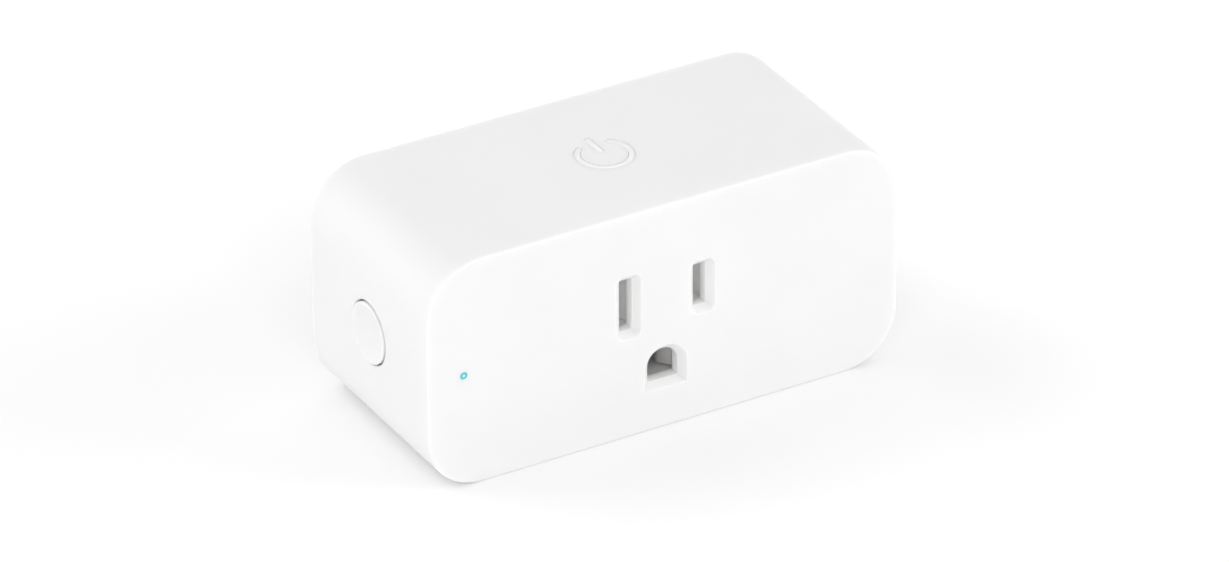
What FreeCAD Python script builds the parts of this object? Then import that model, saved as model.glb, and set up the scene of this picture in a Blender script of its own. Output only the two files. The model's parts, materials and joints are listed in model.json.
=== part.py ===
"""Smart plug: a plug-in remote switch with one grounded outlet, as an assembly of separate pieces.

Frame, in millimetres: +Z up, +Y towards the wall. The outlet faces -Y, the side button is on -X, and the
origin is the middle of the box around the whole plug, at its base. One STEP file per piece goes to parts/.
"""
import FreeCAD
import Part
import math
import os

V = FreeCAD.Vector
X_AXIS, Y_AXIS, Z_AXIS = V(1, 0, 0), V(0, 1, 0), V(0, 0, 1)

# ---------------------------------------------------------------- driving dimensions
BODY_W, BODY_H, BODY_D = 81.0, 38.0, 36.2   # along X, Z and Y
CORNER_R = 9.15          # corner radius of the body's section
FRONT_EDGE_R = 0.25
REAR_EDGE_R = 0.4
SIDE_WALL = 2.0
FRONT_WALL = 2.8
RIM = 1.1                # wall left around the rear cover
COVER_T = 2.2
FIT = 0.1                # gap around fitted covers

BLADE_PITCH = 12.7       # line to neutral, centre to centre
GROUND_DROP = 11.9       # ground below the two blades
BLADE_T = 1.52
BLADE_REACH = 16.6       # beyond the wall face
GROUND_PIN_R = 2.375
GROUND_ROOT_R = 2.7      # thicker where the cover holds it
GROUND_REACH = 19.8
LEAD_IN = 1.05           # 45 degree chamfer round each outlet slot

# planes along Y, from the outlet face to the wall
FRONT_Y = -(BODY_D + GROUND_REACH) / 2
WALL_Y = FRONT_Y + BODY_D
INNER_Y = FRONT_Y + FRONT_WALL
COVER_Y = WALL_Y - COVER_T
BOARD_T = 1.6
BOARD_BACK_Y = 0.0
BOARD_Y = BOARD_BACK_Y - BOARD_T
CARRIER_BACK_Y = -8.2
CAP_BACK_Y = -6.8

# heights
MID_Z = BODY_H / 2
BLADE_Z = MID_Z + 3.3
GROUND_Z = BLADE_Z - GROUND_DROP
LINE_X = BLADE_PITCH / 2
NEUTRAL_X = -LINE_X

# side button and light
BUTTON_Y = FRONT_Y + BODY_D / 2
BUTTON_HOLE_R = 5.15
BUTTON_R = 4.88
BUTTON_EDGE_R = 0.15
BUTTON_PROUD = 0.25      # the cap stands this far out of the side
LIGHT_X = -34.4
LIGHT_R = 0.55
CONTROL_X = -32.7        # outer face of the control board
CONTROL_T = 1.0
CONTROL_Z = (10.5, 27.5)
CONTROL_Y = (-23.5, -3.0)

PIN_R = 0.3              # component leads
LEADS = []               # (x, z, radius) of every round lead through the power board
TAILS = []               # (x, z, width, height) of every flat tail through the power board


# ---------------------------------------------------------------- helpers
def block(x, y, z):
    """A box from three (low, high) pairs."""
    return Part.makeBox(x[1] - x[0], y[1] - y[0], z[1] - z[0], V(x[0], y[0], z[0]))


def centred(x, y, z, width, height):
    """A box of a width along X and a height along Z round (x, z), over the pair y."""
    return block((x - width / 2, x + width / 2), y, (z - height / 2, z + height / 2))


def rod(radius, start, length, axis=Y_AXIS):
    return Part.makeCylinder(radius, length, V(*start), axis)


def ring(outer, inner, start, length, axis=Y_AXIS):
    return rod(outer, start, length, axis).cut(rod(inner, start, length, axis))


def cone(r_start, r_end, start, length, axis=Y_AXIS):
    return Part.makeCone(r_start, r_end, length, V(*start), axis)


def union(shapes):
    return shapes[0].multiFuse(shapes[1:]).removeSplitter() if len(shapes) > 1 else shapes[0]


def group(shapes):
    """Separate solids in one node."""
    return Part.makeCompound(shapes)


def corner_arc(cx, cz, y, r, start):
    """A quarter arc in the plane y, from start degrees on."""
    a = [math.radians(start + t) for t in (0, 45, 90)]
    return Part.Arc(*[V(cx + r * math.cos(t), y, cz + r * math.sin(t)) for t in a]).toShape()


def rounded_rect(w, h, r, y, cx=0.0, cz=MID_Z):
    """A closed rounded rectangle in the plane y."""
    u, v = w / 2 - r, h / 2 - r
    centres = [(cx + u, cz + v, 0), (cx - u, cz + v, 90), (cx - u, cz - v, 180), (cx + u, cz - v, 270)]
    arcs = [corner_arc(x, z, y, r, a) for x, z, a in centres]
    edges = []
    for arc, after in zip(arcs, arcs[1:] + arcs[:1]):
        ends = arc.Vertexes[-1].Point, after.Vertexes[0].Point
        edges += [arc, Part.makeLine(*ends)]
    return Part.Wire(edges)


def d_shape(r, drop, y, cx=0.0, cz=GROUND_Z):
    """A ground slot's outline in the plane y: a half circle over a square bottom."""
    left, right = V(cx - r, y, cz), V(cx + r, y, cz)
    low_left, low_right = V(cx - r, y, cz - drop), V(cx + r, y, cz - drop)
    return Part.Wire([
        Part.Arc(right, V(cx, y, cz + r), left).toShape(),
        Part.makeLine(left, low_left),
        Part.makeLine(low_left, low_right),
        Part.makeLine(low_right, right),
    ])


def prism(wire, depth):
    return Part.Face(wire).extrude(V(0, depth, 0))


def slot_cutter(outline):
    """Cuts a slot with its lead-in through the front wall. outline(grow, y) gives the wire."""
    proud = 0.2
    ends = [outline(LEAD_IN + proud, FRONT_Y - proud), outline(0, FRONT_Y + LEAD_IN)]
    mouth = Part.makeLoft(ends, True, True)
    throat = prism(outline(0, FRONT_Y + LEAD_IN), FRONT_WALL)
    return mouth.fuse(throat)


def bent_strip(points, radius, thickness, z, height):
    """Sheet metal bent in the XY plane along a mid-line, with rounded bends, and extruded up Z."""
    pts = [V(x, y, z) for x, y in points]
    edges, last = [], pts[0]
    for before, at, after in zip(pts, pts[1:], pts[2:]):
        a, b = (before - at).normalize(), (after - at).normalize()
        half = a.getAngle(b) / 2
        cut = radius / math.tan(half)
        middle = at + (a + b).normalize() * (radius / math.sin(half) - radius)
        start, end = at + a * cut, at + b * cut
        edges += [Part.makeLine(last, start), Part.Arc(start, middle, end).toShape()]
        last = end
    edges.append(Part.makeLine(last, pts[-1]))
    line = Part.Wire(edges)
    faces = [line.makeOffset2D(side * thickness / 2, 0, True, True, False) for side in (1, -1)]
    return union([f.extrude(V(0, 0, height)) for f in faces])


def filleted(shape, radius, wanted):
    """Rounds the edges for which wanted(edge) is true."""
    edges = [e for e in shape.Edges if wanted(e)]
    return shape.makeFillet(radius, edges)


def in_plane_y(y):
    return lambda e: abs(e.BoundBox.YMin - y) < 1e-6 and abs(e.BoundBox.YMax - y) < 1e-6


def pan_screw(at, shank_r, length, head_r, head_h):
    """A pan-head screw whose head seats at a point and whose shank runs towards -Y."""
    x, y, z = at
    head = filleted(rod(head_r, at, head_h), head_h * 0.55, in_plane_y(y + head_h))
    shank = rod(shank_r, (x, y - length + shank_r, z), length - shank_r)
    tip = cone(shank_r * 0.2, shank_r, (x, y - length, z), shank_r)
    body = union([head, shank, tip])
    arm, width = head_r * 1.15, head_r * 0.24
    deep = (y + head_h * 0.45, y + head_h + 1)
    cross = centred(x, deep, z, arm, width).fuse(centred(x, deep, z, width, arm))
    return body.cut(cross)


def lead(x, z, start_y, radius=PIN_R, end_y=BOARD_BACK_Y + 1.0):
    """A component lead from start_y through the power board, which gets its hole."""
    LEADS.append((x, z, radius))
    return rod(radius, (x, start_y, z), end_y - start_y)


# ---------------------------------------------------------------- housing
BOSS_R, PILOT_R, SHANK_R = 2.2, 1.02, 1.0
BOARD_SCREWS = [(sx * 33.6, z) for sx in (-1, 1) for z in (MID_Z - 11.6, MID_Z + 11.6)]
CARRIER_SCREWS = [(sx * 10.8, 8.6) for sx in (-1, 1)]
POST_BACK_Y = -13.0
SNAPS = [(sx * 20.0, sz) for sx in (-1, 1) for sz in (-1, 1)]
SNAP_W, SNAP_DEEP = 8.0, 0.8
SNAP_Y = (2.2, 4.4)
SKIRT_Y = 1.6
NEUTRAL_SLOT, LINE_SLOT, SLOT_W = 8.7, 7.0, 2.2
GROUND_SLOT_R, GROUND_SLOT_DROP = 2.63, 2.57
MARK_R, MARK_LINE, MARK_DEEP, MARK_GAP = 4.6, 1.0, 0.25, 40.0


def section(inset, y):
    """The body's section, inset from its outer outline."""
    return rounded_rect(BODY_W - 2 * inset, BODY_H - 2 * inset, CORNER_R - inset, y)


def mark_cutter():
    """A shallow generic power mark: an open ring and a bar, on the top face."""
    cx, cy, cz = 0.0, BUTTON_Y, BODY_H - MARK_DEEP
    high = MARK_DEEP + 1
    annulus = ring(MARK_R, MARK_R - MARK_LINE, (cx, cy, cz), high, Z_AXIS)
    reach = MARK_R + 1
    ends = [V(cx + s * reach * math.tan(math.radians(MARK_GAP)), cy + reach, cz) for s in (-1, 1)]
    wedge = Part.Face(Part.makePolygon([V(cx, cy, cz), *ends, V(cx, cy, cz)])).extrude(V(0, 0, high))
    bar = block((cx - MARK_LINE / 2, cx + MARK_LINE / 2), (cy + 0.6, cy + MARK_R + 0.9), (cz, cz + high))
    bar = filleted(bar, MARK_LINE * 0.49, lambda e: abs(e.BoundBox.ZLength - high) < 1e-6)
    mid = MARK_R - MARK_LINE / 2
    away = math.radians(MARK_GAP)
    caps = [
        rod(MARK_LINE / 2, (cx + s * mid * math.sin(away), cy + mid * math.cos(away), cz), high, Z_AXIS)
        for s in (-1, 1)
    ]
    return union([annulus.cut(wedge), *caps, bar])


def snap_pocket(x, side):
    """A pocket in the top or bottom wall for one of the rear cover's snap hooks."""
    wall = MID_Z + side * (BODY_H / 2 - SIDE_WALL)
    z = sorted((wall - side * 0.5, wall + side * SNAP_DEEP))
    return block((x - SNAP_W / 2, x + SNAP_W / 2), SNAP_Y, z)


def front_shell():
    """The sleeve and outlet face in one moulding, with its bosses, collars and board guides."""
    outer = prism(section(0, FRONT_Y), BODY_D)
    outer = filleted(outer, FRONT_EDGE_R, in_plane_y(FRONT_Y))
    outer = filleted(outer, REAR_EDGE_R, in_plane_y(WALL_Y))
    shell = outer.cut(prism(section(SIDE_WALL, INNER_Y), BODY_D))
    shell = shell.cut(prism(section(RIM, COVER_Y), BODY_D))

    root = INNER_Y - 0.5
    adds = [rod(BOSS_R, (x, root, z), BOARD_Y - root) for x, z in BOARD_SCREWS]
    for x, z in BOARD_SCREWS:
        wall_x = math.copysign(BODY_W / 2 - SIDE_WALL + 0.5, x)
        wall_z = MID_Z + math.copysign(BODY_H / 2 - SIDE_WALL + 0.5, z - MID_Z)
        adds.append(block(sorted((x, wall_x)), (root, BOARD_Y - 3), (z - 0.6, z + 0.6)))
        adds.append(block((x - 0.6, x + 0.6), (root, BOARD_Y - 3), sorted((z, wall_z))))
    adds += [rod(2.0, (x, root, z), POST_BACK_Y - root) for x, z in CARRIER_SCREWS]
    wall_x = -BODY_W / 2 + SIDE_WALL
    adds.append(ring(7.4, 6.4, (wall_x - 0.5, BUTTON_Y, MID_Z), 2.2, X_AXIS))
    adds.append(rod(2.5, (LIGHT_X, root, MID_Z), 1.9))
    for z in CONTROL_Z:
        adds.append(centred(CONTROL_X + CONTROL_T / 2, (root, -18.0), z, 4.0, 2.6))
    keep = prism(section(SIDE_WALL / 2, FRONT_Y + 1), BODY_D)
    shell = union([shell, *[a.common(keep) for a in adds]])

    cuts = [rod(PILOT_R, (x, BOARD_Y - 10, z), 11) for x, z in BOARD_SCREWS]
    cuts += [rod(PILOT_R, (x, -22.0, z), 10) for x, z in CARRIER_SCREWS]
    guide = 0.06
    cuts.append(block(
        (CONTROL_X - guide, CONTROL_X + CONTROL_T + guide),
        (CONTROL_Y[0] - guide, -17.0),
        (CONTROL_Z[0] - guide, CONTROL_Z[1] + guide),
    ))
    edge_x = -BODY_W / 2
    cuts.append(rod(BUTTON_HOLE_R, (edge_x - 1, BUTTON_Y, MID_Z), SIDE_WALL + 1.5, X_AXIS))
    cuts.append(cone(BUTTON_HOLE_R + 0.2, BUTTON_HOLE_R, (edge_x - 0.05, BUTTON_Y, MID_Z), 0.2, X_AXIS))
    cuts.append(rod(LIGHT_R + 0.03, (LIGHT_X, FRONT_Y - 1, MID_Z), FRONT_WALL + 2))
    cuts.append(rod(1.65, (LIGHT_X, INNER_Y, MID_Z), 3))
    cuts += [
        slot_cutter(lambda g, y, x=x, h=h: rounded_rect(SLOT_W + 2 * g, h + 2 * g, 0.25 + g, y, x, BLADE_Z))
        for x, h in ((NEUTRAL_X, NEUTRAL_SLOT), (LINE_X, LINE_SLOT))
    ]
    cuts.append(slot_cutter(lambda g, y: d_shape(GROUND_SLOT_R + g, GROUND_SLOT_DROP + g, y)))
    cuts += [snap_pocket(x, side) for x, side in SNAPS]
    cuts.append(mark_cutter())
    for c in cuts:
        shell = shell.cut(c)
    return shell


HOLDER_SCREWS = [(sx * 11.5, 11.0) for sx in (-1, 1)]
HOLDER_Y = (3.0, COVER_Y)
SHOULDER_Y = (4.6, COVER_Y)
LABEL_W, LABEL_H, LABEL_DEEP = 22.0, 16.0, 0.2


def snap_hook(x, side):
    """A wedge on the skirt that springs into the shell's pocket."""
    face = MID_Z + side * (BODY_H / 2 - SIDE_WALL - FIT)
    reach = face + side * (SNAP_DEEP - 0.15)
    root = face - side * 0.4
    y0, y1 = SNAP_Y[0] + 0.15, SNAP_Y[1] - 0.1
    profile = [V(x, y0, root), V(x, y0, face), V(x, y1 - 0.5, reach), V(x, y1, reach), V(x, y1, root)]
    hook = Part.Face(Part.makePolygon([*profile, profile[0]])).extrude(V(SNAP_W - 1.0, 0, 0))
    hook.translate(V(-(SNAP_W - 1.0) / 2, 0, 0))
    return hook


def rear_cover():
    """The plate against the wall, with its skirt, snap hooks, blade slots and a blank label recess."""
    plate = prism(section(RIM + FIT, COVER_Y), COVER_T)
    plate = filleted(plate, 0.3, in_plane_y(WALL_Y))
    skirt = prism(section(SIDE_WALL + FIT, SKIRT_Y), COVER_Y - SKIRT_Y + 0.5)
    skirt = skirt.cut(prism(section(SIDE_WALL + FIT + 1.2, SKIRT_Y - 1), COVER_Y - SKIRT_Y + 1))
    notches = [
        block((x + s * SNAP_W / 2 - 0.4, x + s * SNAP_W / 2 + 0.4), (SKIRT_Y - 1, COVER_Y), (0, BODY_H))
        for x in (-20.0, 20.0) for s in (-1, 1)
    ]
    bosses = [rod(2.2, (x, HOLDER_Y[0] + 1.2, z), COVER_Y - HOLDER_Y[0] - 0.7) for x, z in HOLDER_SCREWS]
    cover = plate.fuse(skirt)
    for n in notches:
        cover = cover.cut(n)
    cover = union([cover, *[snap_hook(x, side) for x, side in SNAPS], *bosses])
    play = 0.05
    cuts = [
        centred(x, (0, WALL_Y + 1), BLADE_Z, BLADE_T + 2 * play, w + 2 * play)
        for x, w in ((LINE_X, LINE_BLADE_W), (NEUTRAL_X, NEUTRAL_BLADE_W))
    ]
    cuts.append(rod(GROUND_ROOT_R + play, (0, 0, GROUND_Z), WALL_Y + 1))
    cuts += [rod(PILOT_R, (x, HOLDER_Y[0], z), COVER_Y - HOLDER_Y[0] + 1.2) for x, z in HOLDER_SCREWS]
    cuts += [
        prism(rounded_rect(LABEL_W, LABEL_H, 1.5, WALL_Y - LABEL_DEEP, sx * 26.0), 1) for sx in (-1, 1)
    ]
    for c in cuts:
        cover = cover.cut(c)
    return cover


# ---------------------------------------------------------------- wall-side plug
LINE_BLADE_W, NEUTRAL_BLADE_W = 6.35, 7.9
BLADE_HOLE_R, BLADE_HOLE_Y = 1.55, 11.9
TAIL_T, TAIL_W = 0.8, 2.6
BLADE_TAIL_Z, CONTACT_TAIL_Z = BLADE_Z + 1.9, BLADE_Z - 2.2


def tail(x, z, y):
    """A flat tail over the pair y that is soldered through the power board."""
    TAILS.append((x, z, TAIL_T, TAIL_W))
    return centred(x, y, z, TAIL_T, TAIL_W)


def blade(x, width):
    """A flat blade with a bevelled tip, a hole, a shoulder behind the cover and a soldering tail."""
    y0, y1 = SHOULDER_Y[0], WALL_Y + BLADE_REACH
    w, t, bevel = width / 2, BLADE_T / 2, 1.6
    plan = [(-t, y0), (-t, y1 - bevel), (-t * 0.45, y1), (t * 0.45, y1), (t, y1 - bevel), (t, y0)]
    side = [(-w, y0), (-w, y1 - bevel), (-w + 1.1, y1), (w - 1.1, y1), (w, y1 - bevel), (w, y0)]
    plan_wire = Part.makePolygon([V(x + a, b, BLADE_Z - w) for a, b in plan + plan[:1]])
    side_wire = Part.makePolygon([V(x - t, b, BLADE_Z + a) for a, b in side + side[:1]])
    flat = Part.Face(plan_wire).extrude(V(0, 0, width))
    flat = flat.common(Part.Face(side_wire).extrude(V(BLADE_T, 0, 0)))
    flat = flat.cut(rod(BLADE_HOLE_R, (x - 5, WALL_Y + BLADE_HOLE_Y, BLADE_Z), 10, X_AXIS))
    shoulder = centred(x, SHOULDER_Y, BLADE_Z, BLADE_T + 1.2, width + 1.6)
    return union([flat, shoulder, tail(x, BLADE_TAIL_Z, (BOARD_Y - 1.0, y0 + 0.5))])


STRAP_T, STRAP_W = 0.8, 4.0
STRAP_Y = (-6.0, 2.6)    # front face against the ground contact, rear face against the pin's shoulder
STRAP_Z = (6.6, 13.2)
RIVET_R = 1.2


def ground_pin():
    """The round ground pin, with its flange, and a stem riveted through the ground strap."""
    tip_y = WALL_Y + GROUND_REACH
    pin = rod(GROUND_PIN_R, (0, SHOULDER_Y[0], GROUND_Z), tip_y - SHOULDER_Y[0])
    pin = filleted(pin, GROUND_PIN_R * 0.92, in_plane_y(tip_y))
    root = rod(GROUND_ROOT_R, (0, SHOULDER_Y[0], GROUND_Z), WALL_Y - SHOULDER_Y[0])
    flange = rod(3.6, (0, SHOULDER_Y[0], GROUND_Z), SHOULDER_Y[1] - SHOULDER_Y[0])
    neck = rod(1.9, (0, STRAP_Y[1], GROUND_Z), SHOULDER_Y[0] - STRAP_Y[1] + 0.2)
    stem = rod(RIVET_R, (0, STRAP_Y[1] - STRAP_T - 0.3, GROUND_Z), STRAP_T + 1)
    head = rod(1.9, (0, STRAP_Y[1] - STRAP_T - 0.6, GROUND_Z), 0.6)
    head = filleted(head, 0.4, in_plane_y(STRAP_Y[1] - STRAP_T - 0.6))
    return union([pin, root, flange, neck, stem, head])


def ground_strap():
    """A bent strip that joins the ground contact to the ground pin through a slot in the board."""
    mid = STRAP_T / 2
    points = [
        (STRAP_Y[0] + mid, STRAP_Z[1]), (STRAP_Y[0] + mid, STRAP_Z[0] + mid),
        (STRAP_Y[1] - mid, STRAP_Z[0] + mid), (STRAP_Y[1] - mid, STRAP_Z[1]),
    ]
    strip = bent_strip(points, 0.9, STRAP_T, -STRAP_W / 2, STRAP_W)
    strip.rotate(V(0, 0, 0), V(1, 1, 1), 120)     # x, y, z to y, z, x
    TAILS.append((0, STRAP_Z[0] + mid, STRAP_W, STRAP_T))
    return strip.cut(rod(RIVET_R, (0, STRAP_Y[0] - 1, GROUND_Z), 12))


def blade_holder():
    """The insulating block that clamps the blades and the pin against the rear cover."""
    holder = prism(rounded_rect(27.6, 24.0, 2.0, HOLDER_Y[0], 0, 17.5), HOLDER_Y[1] - HOLDER_Y[0])
    play = 0.1
    cuts = []
    for x, w in ((LINE_X, LINE_BLADE_W), (NEUTRAL_X, NEUTRAL_BLADE_W)):
        cuts.append(centred(x, (SHOULDER_Y[0], 9), BLADE_Z, BLADE_T + 1.2 + 2 * play, w + 1.6 + 2 * play))
        cuts.append(centred(x, (0, 9), BLADE_TAIL_Z, TAIL_T + 2 * play, TAIL_W + 2 * play))
    cuts.append(rod(3.6 + play, (0, SHOULDER_Y[0], GROUND_Z), 5))
    cuts.append(rod(1.9 + play, (0, 0, GROUND_Z), 9))
    for x, z in HOLDER_SCREWS:
        cuts.append(rod(SHANK_R + play, (x, 0, z), 9))
        cuts.append(rod(2.2 + play, (x, HOLDER_Y[0] + 1.2, z), 9))
    for c in cuts:
        holder = holder.cut(c)
    return holder


def holder_screws():
    """Two screws from inside, through the holder into the rear cover."""
    screws = []
    for x, z in HOLDER_SCREWS:
        screw = pan_screw((0, 0, 0), SHANK_R, 4.0, 1.9, 0.7)
        screw.rotate(V(0, 0, 0), Z_AXIS, 180)
        screw.translate(V(x, HOLDER_Y[0], z))
        screws.append(screw)
    return group(screws)


# ---------------------------------------------------------------- outlet contacts
CONTACT_T = 0.6
GROUND_LEAF_H = 4.8
POCKET_W, POCKET_ROOM = 6.0, 0.2         # a blade contact's pocket, and how much taller than its slot it is
GROUND_POCKET_W, GROUND_POCKET_Z = 8.4, (7.6, 13.4)
CARRIER_X, CARRIER_Z = (-13.0, 13.0), (5.0, 29.0)


def blade_contact(x, height):
    """A folded spring contact: two flared leaves that grip a blade, and a soldering tail."""
    mouth, pinch = (2.05, INNER_Y + 0.4), (0.8, INNER_Y + 3.0)
    half = [mouth, pinch, (2.2, INNER_Y + 8.5), (2.2, CARRIER_BACK_Y - 0.6)]
    points = [(x + a, b) for a, b in half] + [(x - a, b) for a, b in reversed(half)]
    leaves = bent_strip(points, 0.8, CONTACT_T, BLADE_Z - height / 2, height)
    return leaves.fuse(tail(x, CONTACT_TAIL_Z, (CARRIER_BACK_Y - 0.7, BOARD_BACK_Y + 1.0))).removeSplitter()


def ground_contact():
    """A folded ground contact: two flared side leaves from a base that is riveted to the ground strap."""
    base_y = STRAP_Y[0] - CONTACT_T / 2
    mouth, pinch, belly = (3.14, INNER_Y + 0.75), (1.64, INNER_Y + 2.7), (2.2, INNER_Y + 5.5)
    half = [mouth, pinch, belly, (3.6, INNER_Y + 10.5), (3.6, base_y)]
    points = half + [(-a, b) for a, b in reversed(half)]
    leaves = bent_strip(points, 0.8, CONTACT_T, GROUND_Z - GROUND_LEAF_H / 2, GROUND_LEAF_H)
    stub = rod(RIVET_R, (0, base_y, GROUND_Z), CONTACT_T / 2 + STRAP_T + 0.2)
    head = rod(1.9, (0, STRAP_Y[0] + STRAP_T, GROUND_Z), 0.5)
    return union([leaves, stub, head])


def contact_carrier():
    """The insulating block behind the outlet face, with a pocket for each contact."""
    x, z = CARRIER_X, CARRIER_Z
    cx, cz = sum(x) / 2, sum(z) / 2
    body = prism(rounded_rect(x[1] - x[0], z[1] - z[0], 2.0, INNER_Y, cx, cz), CARRIER_BACK_Y - INNER_Y)
    y = (INNER_Y - 1, CARRIER_BACK_Y + 1)
    cuts = [
        centred(NEUTRAL_X, y, BLADE_Z, POCKET_W, NEUTRAL_SLOT + POCKET_ROOM),
        centred(LINE_X, y, BLADE_Z, POCKET_W, LINE_SLOT + POCKET_ROOM),
        block((-GROUND_POCKET_W / 2, GROUND_POCKET_W / 2), y, GROUND_POCKET_Z),
    ]
    for sx, sz in CARRIER_SCREWS:
        cuts.append(rod(2.0 + FIT, (sx, y[0], sz), POST_BACK_Y - y[0]))
        cuts.append(rod(SHANK_R + FIT, (sx, y[0], sz), y[1] - y[0]))
    relief = 3.4
    for s in (-1, 1):
        cuts.append(centred(s * 11.3, (INNER_Y + 1.5, CARRIER_BACK_Y + 1), 20.5, relief, 11.0))
    for c in cuts:
        body = body.cut(c)
    return body


def carrier_cap():
    """The lid that shuts the carrier from behind, with slots for the tails and the ground contact."""
    x, z = CARRIER_X, CARRIER_Z
    cx, cz = sum(x) / 2, sum(z) / 2
    depth = CAP_BACK_Y - CARRIER_BACK_Y
    lid = prism(rounded_rect(x[1] - x[0], z[1] - z[0], 2.0, CARRIER_BACK_Y, cx, cz), depth)
    lid = filleted(lid, 0.4, in_plane_y(CAP_BACK_Y))
    y = (CARRIER_BACK_Y - 1, CAP_BACK_Y + 1)
    cuts = [centred(sx, y, CONTACT_TAIL_Z, TAIL_T + 0.3, TAIL_W + 0.3) for sx in (NEUTRAL_X, LINE_X)]
    cuts.append(centred(0, y, GROUND_Z, GROUND_POCKET_W - 0.4, GROUND_LEAF_H + 0.4))
    cuts += [rod(SHANK_R + FIT, (sx, y[0], sz), 4) for sx, sz in CARRIER_SCREWS]
    for c in cuts:
        lid = lid.cut(c)
    return lid


def carrier_screws():
    return group([pan_screw((x, CAP_BACK_Y, z), SHANK_R, 12.0, 1.9, 1.3) for x, z in CARRIER_SCREWS])


# ---------------------------------------------------------------- relay
RELAY_X, RELAY_Z = 14.5, 12.6            # low corner of its footprint on the board
RELAY_L, RELAY_W, RELAY_H = 19.0, 15.5, 15.3
RELAY_MID_W = RELAY_W / 2
PIVOT_U, PIVOT_H = 2.7, 12.0             # where the armature rocks on the yoke
COIL_U = 7.2


def relay_block(u, h, w):
    """A box in the relay's own axes: along, up from the board, and across."""
    x = (RELAY_X + u[0], RELAY_X + u[1])
    return block(x, (BOARD_Y - h[1], BOARD_Y - h[0]), (RELAY_Z + w[0], RELAY_Z + w[1]))


def relay_rod(r, u, w, h):
    """A round piece in the relay's axes, over the heights h."""
    return rod(r, (RELAY_X + u, BOARD_Y - h[1], RELAY_Z + w), h[1] - h[0])


def relay_lead(u, w, top, radius):
    return lead(RELAY_X + u, RELAY_Z + w, BOARD_Y - top, radius)


COIL_PINS = [(15.0, 3.2), (15.0, 12.3)]


def relay_pieces():
    """A sealed power relay: base, cover, magnet, coil, rocking armature and its contacts."""
    mid = RELAY_MID_W
    cover = relay_block((0, RELAY_L), (0.3, RELAY_H), (0, RELAY_W))
    cover = filleted(cover, 0.6, lambda e: e.BoundBox.YMax < BOARD_Y - 0.4 or e.BoundBox.YLength > 5)
    cover = cover.cut(relay_block((0.8, RELAY_L - 0.8), (0, RELAY_H - 0.8), (0.8, RELAY_W - 0.8)))
    vent = relay_rod(0.5, RELAY_L - 2.2, 2.2, (RELAY_H - 1, RELAY_H + 1))

    base = relay_block((0.9, RELAY_L - 0.9), (0.3, 2.0), (0.9, RELAY_W - 0.9))
    yoke = union([
        relay_block((1.5, 11.0), (2.0, 3.2), (3.0, 12.5)),
        relay_block((1.5, PIVOT_U), (2.0, PIVOT_H - 0.05), (3.0, 12.5)),
    ]).cut(relay_rod(1.7, COIL_U, mid, (1, 5)))
    core = relay_rod(1.7, COIL_U, mid, (2.0, 11.0)).fuse(relay_rod(3.2, COIL_U, mid, (10.75, 11.35)))
    bobbin = union([
        relay_block((COIL_U - 4.2, COIL_U + 4.2), (3.25, 4.0), (mid - 4.2, mid + 4.2)),
        relay_block((COIL_U - 4.2, COIL_U + 4.2), (9.9, 10.7), (mid - 4.2, mid + 4.2)),
        relay_rod(2.3, COIL_U, mid, (3.5, 10.5)),
    ]).cut(relay_rod(1.72, COIL_U, mid, (0, 12)))
    winding = relay_rod(3.9, COIL_U, mid, (4.0, 9.9)).cut(relay_rod(2.3, COIL_U, mid, (3, 11)))

    armature = relay_block((1.3, 11.5), (PIVOT_H, PIVOT_H + 1.1), (3.2, 12.3))
    spring = union([
        relay_block((2.2, 16.8), (PIVOT_H + 1.1, PIVOT_H + 1.35), (mid - 2.2, mid + 2.2)),
        relay_rod(0.9, 5.0, mid, (PIVOT_H + 1.2, PIVOT_H + 1.7)),
        relay_rod(0.9, 9.0, mid, (PIVOT_H + 1.2, PIVOT_H + 1.7)),
        relay_rod(1.2, 15.3, mid, (PIVOT_H + 0.6, PIVOT_H + 1.9)),
    ])
    load = union([
        relay_block((17.2, 17.8), (0, 10.9), (mid - 1.8, mid + 1.8)),
        relay_block((13.9, 17.8), (10.3, 10.9), (mid - 1.8, mid + 1.8)),
        relay_rod(1.2, 15.3, mid, (10.8, 11.47)),
        relay_lead(17.5, mid, 0.3, 0.55),
    ])
    common = union([
        relay_block((1.6, 2.4), (0, 2.0), (mid - 1.8, mid + 1.8)),
        relay_lead(2.0, mid, 0.3, 0.55),
    ])
    coil_pins = group([relay_lead(u, w, 3.6, PIN_R) for u, w in COIL_PINS])

    for hole in (
        relay_block((17.1, 17.9), (0, 3), (mid - 1.9, mid + 1.9)),
        relay_block((1.5, 2.5), (0, 3), (mid - 1.9, mid + 1.9)),
        *[relay_rod(PIN_R + 0.02, u, w, (0, 3)) for u, w in COIL_PINS],
    ):
        base = base.cut(hole)
    return {
        "relay_cover": cover.cut(vent),
        "relay_base": base,
        "relay_yoke": yoke,
        "relay_core": core.removeSplitter(),
        "relay_bobbin": bobbin,
        "relay_winding": winding,
        "relay_armature": armature,
        "relay_contact_spring": spring,
        "relay_load_terminal": load,
        "relay_common_terminal": common,
        "relay_coil_pins": coil_pins,
    }


# ---------------------------------------------------------------- power board parts
def film_capacitor():
    """The mains filter capacitor: a potted box on two leads."""
    x, z = 22.5, 7.9
    box = centred(x, (BOARD_Y - 12.3, BOARD_Y - 0.3), z, 13.0, 6.0)
    box = filleted(box, 0.5, lambda e: e.BoundBox.YMax < BOARD_Y - 0.4)
    return union([box, *[lead(x + s * 5.0, z, BOARD_Y - 1.0, 0.35) for s in (-1, 1)]])


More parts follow.
